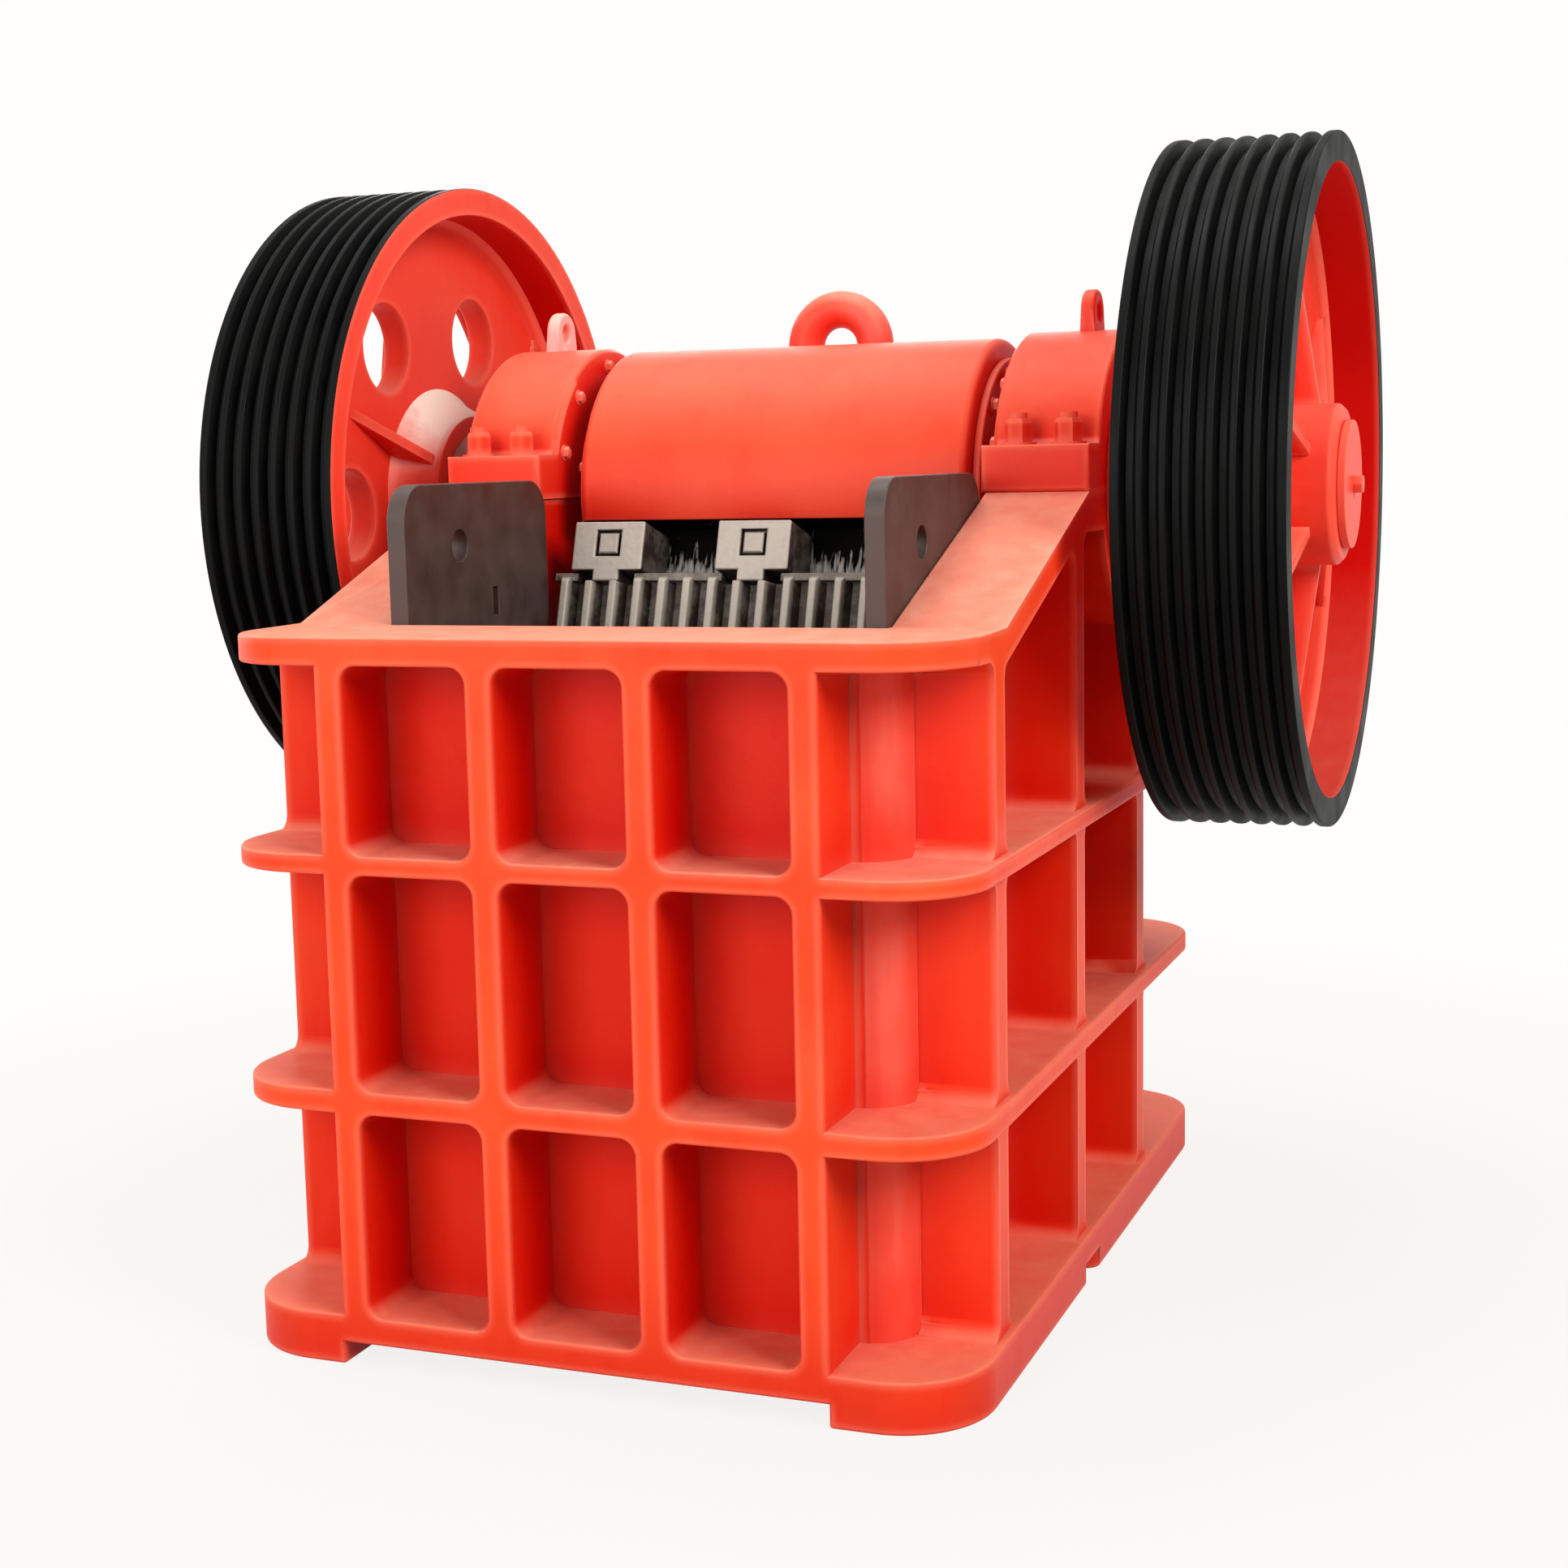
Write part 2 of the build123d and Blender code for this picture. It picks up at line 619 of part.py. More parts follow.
def make_clamp_block():
    """A clamp seated in the recess, with a nose down on the jaw plate's top edge and a well for its bolt."""
    body = jaw_slab([(clamp_inset, clamp_bottom), (clamp_inset, clamp_top), (recess_back, clamp_top),
                     (recess_back, clamp_bottom)], -clamp_width / 2, clamp_width / 2)
    nose = jaw_slab([(clamp_inset, clamp_fit), (clamp_inset, clamp_bottom), (jaw_plate_t, clamp_bottom),
                     (jaw_plate_t, clamp_fit)], -clamp_nose / 2, clamp_nose / 2)
    low, high = bolt_well_up - bolt_well / 2, bolt_well_up + bolt_well / 2
    floor = clamp_inset + bolt_well_depth
    well = jaw_slab([(clamp_inset, low), (clamp_inset, high), (floor, high), (floor, low)],
                    -bolt_well / 2, bolt_well / 2)
    return body + nose - well


def make_shaft():
    shoulder = barrel_half - end_cover_t
    right = [(shoulder, 0), (shoulder, cover_seat_r), (barrel_half + end_cover_t, cover_seat_r),
             (barrel_half + end_cover_t, journal_r), (flange_half + end_play, journal_r),
             (flange_half + end_play, collar_r), (hub_start, collar_r), (hub_start, hub_seat_r),
             (hub_face, hub_seat_r), (hub_face, 0)]
    end = turned(right)
    throw = round_bar(-shoulder, shoulder, throw_r, shaft_setback, shaft_z - eccentric_throw)
    return fused(throw, end, mirror(end, about=Plane.YZ))


def make_right_rim():
    """The flywheel's rim, with a row of belt grooves."""
    groove_pitch = (wheel_width - 2 * edge_land + groove_land) / groove_count
    slant = (groove_pitch - groove_land - groove_floor) / 2
    profile = [(wheel_inner_x, rim_inner_r), (wheel_inner_x, wheel_r)]
    for groove in range(groove_count):
        x = wheel_inner_x + edge_land + groove * groove_pitch
        profile.append((x, wheel_r))
        profile.append((x + slant, wheel_r - groove_depth))
        profile.append((x + slant + groove_floor, wheel_r - groove_depth))
        profile.append((x + 2 * slant + groove_floor, wheel_r))
    profile.append((wheel_outer_x, wheel_r))
    profile.append((wheel_outer_x, rim_inner_r))
    return turned(profile)


def boss_outline(gap):
    """The hub's inner boss, tapered from its end to the flare at the web, with a gap outside it."""
    return [(hub_start, boss_r - hub_chamfer + gap), (hub_start + hub_chamfer, boss_r + gap),
            (web_inner_x - web_fillet_r, boss_root_r + gap), (web_inner_x, boss_root_r + web_fillet_r + gap)]


def make_right_hub():
    """The flywheel's hub, a wide boss on its inner side and a narrower one outside, flared against the web."""
    bore = hub_seat_r + running_clearance
    return turned([(hub_start, bore), *boss_outline(0), (web_inner_x, hub_r),
                   (web_outer_x, hub_r), (web_outer_x, hub_r + web_fillet_r),
                   (web_outer_x + web_fillet_r, hub_r), (hub_face - hub_chamfer, hub_r),
                   (hub_face, hub_r - hub_chamfer), (hub_face, bore)])


def make_right_web():
    """The flywheel's holed web, with gussets against the boss on its inner side and ribs on its outer side."""
    hub_fit_r = hub_r + wheel_fit
    edge_r = rim_inner_r - wheel_fit
    web = turned([(web_inner_x, hub_fit_r), (web_inner_x, edge_r - web_fillet_r),
                  (web_inner_x - web_fillet_r, edge_r), (web_outer_x + web_fillet_r, edge_r),
                  (web_outer_x, edge_r - web_fillet_r), (web_outer_x, hub_fit_r)])
    step = 360 / web_hole_count
    for hole in range(web_hole_count):
        turn = math.radians(wheel_turn + step * hole)
        web = web - round_bar(web_inner_x, web_outer_x, web_hole_r,
                              shaft_setback + web_hole_ring_r * math.cos(turn),
                              shaft_z + web_hole_ring_r * math.sin(turn))
    boss_room = turned([(hub_start, 0), *boss_outline(wheel_fit), (web_inner_x, 0)])
    profile = [(web_inner_x, hub_r), (hub_start + hub_chamfer, hub_r),
               (hub_start + hub_chamfer, boss_r + gusset_t / 2), (web_inner_x, gusset_reach)]
    plane = Plane(origin=(0, shaft_y, shaft_z), x_dir=(1, 0, 0), z_dir=(0, -1, 0))
    gusset = extrude(plane * make_face(Polyline(*profile, close=True)), gusset_t / 2, both=True) - boss_room
    hub_room = turned([(web_outer_x, 0), (web_outer_x, hub_fit_r + web_fillet_r),
                       (web_outer_x + web_fillet_r, hub_fit_r), (hub_face, hub_fit_r), (hub_face, 0)])
    rib_end_r = edge_r - web_fillet_r / 2
    profile = [(web_outer_x, 0), (web_outer_x + wheel_rib_rise, 0), (web_outer_x + wheel_rib_rise, hub_r),
               (web_outer_x + web_fillet_r / 2, rib_end_r), (web_outer_x, rib_end_r)]
    rib = extrude(plane * make_face(Polyline(*profile, close=True)), wheel_rib_t / 2, both=True) - hub_room
    upright = 90
    for number in range(web_hole_count):
        web = web + rib.rotate(shaft_axis, wheel_turn + step / 2 + number * step - upright)
    for number in range(gusset_count):
        turn = wheel_turn + step / 2 + number * 360 / gusset_count
        web = web + gusset.rotate(shaft_axis, turn - upright)
    return web


def make_right_end_plate():
    """The plate over the shaft's end, with the head of its retaining bolt."""
    plate = round_bar(hub_face, hub_face + end_plate_t, end_plate_r, shaft_setback, shaft_z)
    plane = Plane(origin=(hub_face + end_plate_t, shaft_y, shaft_z), x_dir=(0, 1, 0), z_dir=(1, 0, 0))
    return plate + extrude(plane * RegularPolygon(retaining_bolt_r, 6), retaining_bolt_t)


def save(name, solid):
    solid.label = name
    export_step(solid, os.path.join("parts", name + ".step"))


def save_pair(name, right):
    """The right-hand piece and its mirror image."""
    save("right_" + name, right)
    save("left_" + name, mirror(right, about=Plane.YZ))


os.makedirs("parts", exist_ok=True)
save("front_wall", make_front_wall())
save("rear_wall", make_rear_wall())
save_pair("side_wall", make_right_side_wall())
save_pair("bearing_cap", make_right_cap())
save_pair("bearing_cover", make_right_bearing_cover())
save_pair("upper_cheek_plate", make_right_upper_cheek())
save_pair("lower_cheek_plate", make_right_lower_cheek())
save("fixed_jaw_plate", make_fixed_jaw_plate())
save("rear_toggle_seat", make_rear_toggle_seat())
save("toggle_plate", make_toggle_plate())
save("tension_spring", make_tension_spring())
swing_jaw = make_swing_jaw()
save("jaw_toggle_seat", make_jaw_toggle_seat(swing_jaw))
save("swing_jaw", swing_jaw)
save_pair("end_cover", make_right_end_cover())
save("lifting_eye", make_lifting_eye())
save("moving_jaw_plate", make_moving_jaw_plate())
for side, name in ((-1, "left_clamp_block"), (0, "middle_clamp_block"), (1, "right_clamp_block")):
    save(name, Pos(side * clamp_pitch, 0, 0) * make_clamp_block())
save("tension_rod", make_tension_rod())
save("eccentric_shaft", make_shaft())
save_pair("flywheel_rim", make_right_rim())
save_pair("flywheel_hub", make_right_hub())
save_pair("flywheel", make_right_web())
save_pair("hub_end_plate", make_right_end_plate())
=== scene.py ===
import math

import bmesh
import bpy
from mathutils import Matrix, Vector


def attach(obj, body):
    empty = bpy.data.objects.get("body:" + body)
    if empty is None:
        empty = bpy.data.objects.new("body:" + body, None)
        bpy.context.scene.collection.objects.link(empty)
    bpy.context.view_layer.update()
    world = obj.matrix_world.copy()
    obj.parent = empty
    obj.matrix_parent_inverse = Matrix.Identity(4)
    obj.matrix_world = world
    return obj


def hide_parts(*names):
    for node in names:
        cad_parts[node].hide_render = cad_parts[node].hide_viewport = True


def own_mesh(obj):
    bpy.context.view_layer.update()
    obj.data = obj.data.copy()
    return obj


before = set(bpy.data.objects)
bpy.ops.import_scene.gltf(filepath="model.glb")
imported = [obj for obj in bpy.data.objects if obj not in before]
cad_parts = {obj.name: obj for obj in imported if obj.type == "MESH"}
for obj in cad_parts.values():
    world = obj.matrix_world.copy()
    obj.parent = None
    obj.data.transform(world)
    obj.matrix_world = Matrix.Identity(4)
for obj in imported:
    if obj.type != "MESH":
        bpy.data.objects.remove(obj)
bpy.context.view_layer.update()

# Places on the crusher, in metres. What is added to FRONT_Y is a setback behind the front ribs' faces.
FRONT_Y = -0.71975
FOOT_REAR_Y = FRONT_Y + 1.386
SHAFT_Y = FRONT_Y + 0.945
SHAFT_Z = 1.108
FLANGE_HALF = 0.5
FLANGE_FACES = (0.0, 0.03, 0.066, 0.338, 0.368, 0.65, 0.675, 0.916, 0.952)
SIDE_WALL_X = 0.39
POST_CENTRE = (0.338, FRONT_Y + 0.177)
POST_R = 0.06
CAP_FOOT_TOP = SHAFT_Z + 0.066
CAP_R = 0.232
CAP_INNER_X = 0.344
SEAT_HALF = 0.283
BARREL_HALF = 0.306
END_COVER_T = 0.012
END_COVER_R = 0.196
BEARING_COVER_T = 0.016
BEARING_COVER_R = 0.186
WHEEL_INNER_X = 0.576
WHEEL_R = 0.4945
RIM_INNER_R = 0.4525
WEB_INNER_X = 0.6655
WEB_OUTER_X = 0.7125
BOSS_ROOT_R = 0.178
HUB_R = 0.116
JAW_LEAN = math.radians(18.0)
JAW_TIP_Y = FRONT_Y + 0.640
JAW_TIP_Z = 0.988
FIXED_TIP_Y = FRONT_Y + 0.239
TOOTH_HEIGHT = 0.024
LIP_RISE = 0.105
RECESS_BACK = 0.1
CLAMP_PITCH = 0.232
CLAMP_INSET = 0.003
CLAMP_SHADE_DEPTH = 0.012
BOLT_WELL_DEPTH = 0.012
BOLT_WELL_UP = 0.058
SPRING_START_Y = FRONT_Y + 1.269
SPRING_LENGTH = 0.1
SPRING_BAR_R = 0.0075
SPRING_COIL_R = 0.04
SPRING_TURNS = 5.0
ROD_Z = 0.130

# Directions into the moving jaw plate, up along it and straight up, a point on its crests, and the signs of
# the two sides.
JAW_BEHIND = Vector((0, math.cos(JAW_LEAN), -math.sin(JAW_LEAN)))
JAW_UP = Vector((0, math.sin(JAW_LEAN), math.cos(JAW_LEAN)))
JAW_TIP = Vector((0, JAW_TIP_Y, JAW_TIP_Z))
UP = Vector((0, 0, 1))
BOTH_SIDES = (-1, 1)

# Widths of the rounded edges.
FRAME_ROUNDING = 0.004
CAP_ROUNDING = 0.006
JAW_ROUNDING = 0.005
BLOCK_ROUNDING = 0.003
PLATE_ROUNDING = 0.002
ROD_ROUNDING = 0.001

# How edges are rounded: which points are one, which edges are sharp, smooth or flat, and how much room a
# rounding needs.
JOIN_DISTANCE = 2e-5
SHARP_ANGLE = math.radians(28)
SMOOTH_ANGLE = math.radians(32)
FLAT_ANGLE = math.radians(0.6)
CARRY_ON_COSINE = -0.75
ROOM_WIDTHS = 2.1
ROOM_SWEEPS = 6
ROUNDING_STEPS = 3
LARGE_FACE_WEIGHT = 50

# How near a face or an edge lies to the place that it is told apart by.
NEAR = 0.001
LEVEL_NEAR = 0.0005
RIM_END_DEPTH = 0.0025
WEB_JOINT = 0.02
RECESS_MARGIN = 0.004
LIP_MARGIN = 0.002
FACING_COSINE = 0.9

# Bolts: their places, the shares of a head's height and width that make its chamfered crown, and how many
# sides washers and studs have.
CAP_BOLT_X = (0.390, 0.462)
CAP_BOLT_INSET = 0.036
CAP_END_BOLT_R = 0.205
CAP_END_BOLT_ANGLES = (0.5, 1.1, 1.7, 2.3, 2.8)
BARREL_BOLTS = 12
BARREL_BOLT_INSET = 0.022
BARREL_BOLT_TURN = 0.26
COVER_BOLTS = 8
COVER_BOLT_INSET = 0.024
COVER_BOLT_TURN = 0.39
NIPPLE_X = 0.488
NIPPLE_SINK = 0.001
STRAIGHT_SHARE = 0.8
CROWN_SHARE = 0.2
CROWN_WIDTH = 0.84
WASHER_SIDES = 24
STUD_SIDES = 20

# Finishes: how much light the coats mirror, how finely the pockets' shade is sampled, and colours that
# several finishes share.
ENAMEL_SHEEN = 0.12
RECESS_SHEEN = 0.05
BLACK_SHEEN = 0.08
PAINT_IOR = 1.5
SHADE_SAMPLES = 3
WORN_AND_HIGHLIT_EDGE = "#FF9076"
PALE_DUST_AND_TOP_LIGHT = "#FFC6A8"
LOW_DIRT_AND_LEDGE_LIGHT = "#EA9A7C"
RUST_DIRT_AND_SHADE = "#2A1D17"
TOOTH_GREY = "#8E8377"
TOOTH_PALE = "#C4B9AB"

# Shares of a valley's depth between which bare crests turn to rust and dirt, and the clamps' sides to painted
# shade.
CREST_SHARE = 0.05
DIRT_AND_SHADE_SHARE = 0.45

# Sockets of a Mix node that blends two colours.
MIX_FACTOR, MIX_A, MIX_B, MIX_RESULT = 0, 6, 7, 2


def linear(hex_colour):
    """A linear RGBA colour from an sRGB hex value."""
    channels = [int(hex_colour[i:i + 2], 16) / 255 for i in (1, 3, 5)]
    return [c / 12.92 if c <= 0.04045 else ((c + 0.055) / 1.055) ** 2.4 for c in channels] + [1.0]


def per_mm(size):
    """Texture scale that makes a pattern's features about this many millimetres wide."""
    return 1000.0 / size


def add(tree, kind, inputs=None, **settings):
    """Add a node with its settings, then give each input a value or a link."""
    made = tree.nodes.new(kind)
    for name, value in settings.items():
        setattr(made, name, value)
    for key, value in (inputs or {}).items():
        if isinstance(value, bpy.types.NodeSocket):
            tree.links.new(value, made.inputs[key])
        else:
            made.inputs[key].default_value = value
    return made


def new_material(name):
    """An empty material and its node tree."""
    material = bpy.data.materials.new(name)
    material.use_nodes = True
    material.node_tree.nodes.clear()
    return material, material.node_tree


def red_enamel(name, bright, deep, shaded, dust_and_light_share, dust_and_light_colour=PALE_DUST_AND_TOP_LIGHT):
    """Red machine enamel, brushed and sprayed over a sand casting.

    It gives an even warm red with a soft sheen, slight waves and grit of the casting under it,
    a deeper red in the pockets that is painted shade, paler edges that are painted highlight and worn
    paint, pale stone dust on what faces up and browner dirt on the low ledges, both paler than dust alone
    as painted light on the tops and ledges. The grit is drawn coarser than sand, so that it shows.
    """
    material, tree = new_material(name)
    place = add(tree, "ShaderNodeTexCoord")
    spot = place.outputs["Object"]
    coat_patches = add(tree, "ShaderNodeTexNoise", {"Vector": spot, "Scale": per_mm(160), "Detail": 5.0})
    tall = add(tree, "ShaderNodeMapping", {"Vector": spot, "Scale": (1.0, 1.0, 0.1)})
    runs = add(tree, "ShaderNodeTexNoise", {"Vector": tall.outputs[0], "Scale": per_mm(28), "Detail": 3.0})
    run_mask = add(tree, "ShaderNodeMapRange", {
        "Value": runs.outputs[0], "From Min": 0.5, "From Max": 0.75, "To Max": 0.3})
    patch_mask = add(tree, "ShaderNodeMapRange", {
        "Value": coat_patches.outputs[0], "From Min": 0.3, "From Max": 0.7, "To Max": 0.75})
    depth = add(tree, "ShaderNodeMath", {
        0: run_mask.outputs[0], 1: patch_mask.outputs[0]}, operation="ADD", use_clamp=True)
    coat = add(tree, "ShaderNodeMix", {
        MIX_FACTOR: depth.outputs[0], MIX_A: linear(bright), MIX_B: linear(deep)}, data_type="RGBA")
    # Painted shade: enclosed places turn towards the shaded red, which stands for the shade in pockets and
    # corners.
    enclosed = add(tree, "ShaderNodeAmbientOcclusion", {"Distance": 0.24}, samples=SHADE_SAMPLES)
    pocket_shade = add(tree, "ShaderNodeMapRange", {
        "Value": enclosed.outputs["AO"], "From Min": 0.9, "From Max": 0.4})
    pocket_shaded = add(tree, "ShaderNodeMix", {
        MIX_FACTOR: pocket_shade.outputs[0], MIX_A: coat.outputs[MIX_RESULT],
        MIX_B: linear(shaded)}, data_type="RGBA")
    # Painted highlight and wear: convex edges turn paler.
    edge = add(tree, "ShaderNodeAmbientOcclusion", {"Distance": 0.012}, samples=SHADE_SAMPLES, inside=True)
    worn_and_highlit = add(tree, "ShaderNodeMapRange", {
        "Value": edge.outputs["AO"], "From Min": 0.9, "From Max": 0.55, "To Max": 0.4})
    paint = add(tree, "ShaderNodeMix", {
        MIX_FACTOR: worn_and_highlit.outputs[0], MIX_A: pocket_shaded.outputs[MIX_RESULT],
        MIX_B: linear(WORN_AND_HIGHLIT_EDGE)}, data_type="RGBA")

    # Pale dust on what faces up and browner dirt low down; their colours are paler than dust alone, as
    # painted light on the tops and ledges.
    facing = add(tree, "ShaderNodeSeparateXYZ", {0: place.outputs["Normal"]})
    level = add(tree, "ShaderNodeMapRange", {"Value": facing.outputs[2], "From Min": 0.3, "From Max": 0.95})
    dust_noise = add(tree, "ShaderNodeTexNoise", {
        "Vector": spot, "Scale": per_mm(45), "Detail": 8.0, "Roughness": 0.65})
    dust_patch = add(tree, "ShaderNodeMapRange", {
        "Value": dust_noise.outputs[0], "From Min": 0.3, "From Max": 0.7, "To Min": 0.6, "To Max": 0.95})
    lying_dust_and_light = add(tree, "ShaderNodeMath", {0: level.outputs[0], 1: dust_patch.outputs[0]}, operation="MULTIPLY")
    hollow = add(tree, "ShaderNodeAmbientOcclusion", {"Distance": 0.035}, samples=SHADE_SAMPLES)
    corner = add(tree, "ShaderNodeMapRange", {
        "Value": hollow.outputs["AO"], "From Min": 0.75, "From Max": 0.35, "To Max": 0.5})
    up_side = add(tree, "ShaderNodeMapRange", {"Value": facing.outputs[2], "From Min": -0.4, "From Max": 0.5})
    corner_up = add(tree, "ShaderNodeMath", {
        0: corner.outputs[0], 1: up_side.outputs[0]}, operation="MULTIPLY")
    corner_dust = add(tree, "ShaderNodeMath", {
        0: corner_up.outputs[0], 1: dust_patch.outputs[0]}, operation="MULTIPLY")
    dust = add(tree, "ShaderNodeMath", {0: lying_dust_and_light.outputs[0], 1: corner_dust.outputs[0]}, operation="MAXIMUM")
    dust_and_light_cover = add(tree, "ShaderNodeMath", {0: dust.outputs[0], 1: dust_and_light_share}, operation="MULTIPLY")
    height = add(tree, "ShaderNodeSeparateXYZ", {0: spot})
    low = add(tree, "ShaderNodeMapRange", {"Value": height.outputs[2], "From Min": 0.95, "From Max": 0.3})
    soil_and_light = add(tree, "ShaderNodeMix", {
        MIX_FACTOR: low.outputs[0], MIX_A: linear(dust_and_light_colour), MIX_B: linear(LOW_DIRT_AND_LEDGE_LIGHT)}, data_type="RGBA")
    colour = add(tree, "ShaderNodeMix", {
        MIX_FACTOR: dust_and_light_cover.outputs[0], MIX_A: paint.outputs[MIX_RESULT],
        MIX_B: soil_and_light.outputs[MIX_RESULT]}, data_type="RGBA")
    dull = add(tree, "ShaderNodeMapRange", {
        "Value": dust_and_light_cover.outputs[0], "From Max": 0.6, "To Min": 0.42, "To Max": 0.7})

    waves = add(tree, "ShaderNodeTexNoise", {"Vector": spot, "Scale": per_mm(70), "Detail": 2.0})
    grit = add(tree, "ShaderNodeTexNoise", {"Vector": spot, "Scale": per_mm(7), "Detail": 3.0})
    wavy = add(tree, "ShaderNodeBump", {"Height": waves.outputs[0], "Strength": 0.25, "Distance": 0.006})
    gritty = add(tree, "ShaderNodeBump", {
        "Height": grit.outputs[0], "Strength": 0.22, "Distance": 0.0012, "Normal": wavy.outputs[0]})
    shader = add(tree, "ShaderNodeBsdfPrincipled", {
        "Base Color": colour.outputs[MIX_RESULT], "Roughness": dull.outputs[0], "Normal": gritty.outputs[0],
        "IOR": PAINT_IOR, "Specular IOR Level": ENAMEL_SHEEN})
    add(tree, "ShaderNodeOutputMaterial", {0: shader.outputs[0]})
    return material


def black_enamel():
    """Black enamel on a turned rim.

    It gives a near black with a grey sheen along the ridges and smears of dust. The grit is drawn
    coarser than it is, so that it shows.
    """
    material, tree = new_material("black_enamel_on_turned_iron")
    spot = add(tree, "ShaderNodeTexCoord").outputs["Object"]
    smear = add(tree, "ShaderNodeTexNoise", {"Vector": spot, "Scale": per_mm(90), "Detail": 6.0})
    share = add(tree, "ShaderNodeMapRange", {
        "Value": smear.outputs[0], "From Min": 0.35, "From Max": 0.75, "To Max": 0.55})
    colour = add(tree, "ShaderNodeMix", {
        MIX_FACTOR: share.outputs[0], MIX_A: linear("#060606"), MIX_B: linear("#100F0D")}, data_type="RGBA")
    gloss = add(tree, "ShaderNodeMapRange", {
        "Value": smear.outputs[0], "From Min": 0.3, "From Max": 0.7, "To Min": 0.42, "To Max": 0.6})
    grit = add(tree, "ShaderNodeTexNoise", {"Vector": spot, "Scale": per_mm(5), "Detail": 3.0})
    gritty = add(tree, "ShaderNodeBump", {"Height": grit.outputs[0], "Strength": 0.15, "Distance": 0.0008})
    shader = add(tree, "ShaderNodeBsdfPrincipled", {
        "Base Color": colour.outputs[MIX_RESULT], "Roughness": gloss.outputs[0], "Normal": gritty.outputs[0],
        "IOR": PAINT_IOR, "Specular IOR Level": BLACK_SHEEN})
    add(tree, "ShaderNodeOutputMaterial", {0: shader.outputs[0]})
    return material


def primed_plate():
    """Rolled plate in dark brown primer: flat, faintly mottled, paler where it was scuffed."""
    material, tree = new_material("brown_primer_on_rolled_plate")
    spot = add(tree, "ShaderNodeTexCoord").outputs["Object"]
    mottle = add(tree, "ShaderNodeTexNoise", {"Vector": spot, "Scale": per_mm(55), "Detail": 7.0})
    share = add(tree, "ShaderNodeMapRange", {"Value": mottle.outputs[0], "From Min": 0.3, "From Max": 0.75})
    colour = add(tree, "ShaderNodeMix", {
        MIX_FACTOR: share.outputs[0], MIX_A: linear("#33231D"), MIX_B: linear("#4C3932")}, data_type="RGBA")
    dull = add(tree, "ShaderNodeMapRange", {
        "Value": mottle.outputs[0], "From Min": 0.3, "From Max": 0.7, "To Min": 0.48, "To Max": 0.66})
    scale_pits = add(tree, "ShaderNodeTexNoise", {"Vector": spot, "Scale": per_mm(9), "Detail": 4.0})
    pitted = add(tree, "ShaderNodeBump", {
        "Height": scale_pits.outputs[0], "Strength": 0.2, "Distance": 0.001})
    shader = add(tree, "ShaderNodeBsdfPrincipled", {
        "Base Color": colour.outputs[MIX_RESULT], "Roughness": dull.outputs[0], "Normal": pitted.outputs[0],
        "IOR": PAINT_IOR})
    add(tree, "ShaderNodeOutputMaterial", {0: shader.outputs[0]})
    return material


def manganese_steel(name, behind, tip, valley_depth, grey, pale):
    """Bare cast manganese steel: dusty pale grey on the crests, brown rust and dark dirt in the valleys.

    behind is the direction into the plate, and tip a point on the plane of the crests. On the clamps the
    same darkening with depth is painted shade on their sides. The casting's rough skin is drawn coarser
    than it is, so that it shows.
    """
    material, tree = new_material(name)
    spot = add(tree, "ShaderNodeTexCoord").outputs["Object"]
    inward = add(tree, "ShaderNodeVectorMath", {0: spot, 1: behind}, operation="DOT_PRODUCT")
    from_tip = add(tree, "ShaderNodeMath", {
        0: inward.outputs["Value"], 1: behind.dot(tip)}, operation="SUBTRACT")
    blotch = add(tree, "ShaderNodeTexNoise", {
        "Vector": spot, "Scale": per_mm(32), "Detail": 8.0, "Roughness": 0.7})
    depth = add(tree, "ShaderNodeMapRange", {
        "Value": from_tip.outputs[0], "From Min": valley_depth * CREST_SHARE,
        "From Max": valley_depth * DIRT_AND_SHADE_SHARE, "To Max": 0.95})
    spread = add(tree, "ShaderNodeMapRange", {
        "Value": blotch.outputs[0], "From Min": 0.3, "From Max": 0.7, "To Min": -0.25, "To Max": 0.25})
    rust_and_shade_share = add(tree, "ShaderNodeMath", {
        0: depth.outputs[0], 1: spread.outputs[0]}, operation="ADD", use_clamp=True)
    crest = add(tree, "ShaderNodeMix", {
        MIX_FACTOR: blotch.outputs[0], MIX_A: linear(grey), MIX_B: linear(pale)}, data_type="RGBA")
    colour = add(tree, "ShaderNodeMix", {
        MIX_FACTOR: rust_and_shade_share.outputs[0], MIX_A: crest.outputs[MIX_RESULT],
        MIX_B: linear(RUST_DIRT_AND_SHADE)}, data_type="RGBA")
    cast_skin = add(tree, "ShaderNodeTexNoise", {"Vector": spot, "Scale": per_mm(8), "Detail": 5.0})
    rough_skin = add(tree, "ShaderNodeBump", {
        "Height": cast_skin.outputs[0], "Strength": 0.45, "Distance": 0.0018})
    shader = add(tree, "ShaderNodeBsdfPrincipled", {
        "Base Color": colour.outputs[MIX_RESULT], "Metallic": 0.25, "Roughness": 0.6,
        "Normal": rough_skin.outputs[0]})
    add(tree, "ShaderNodeOutputMaterial", {0: shader.outputs[0]})
    return material


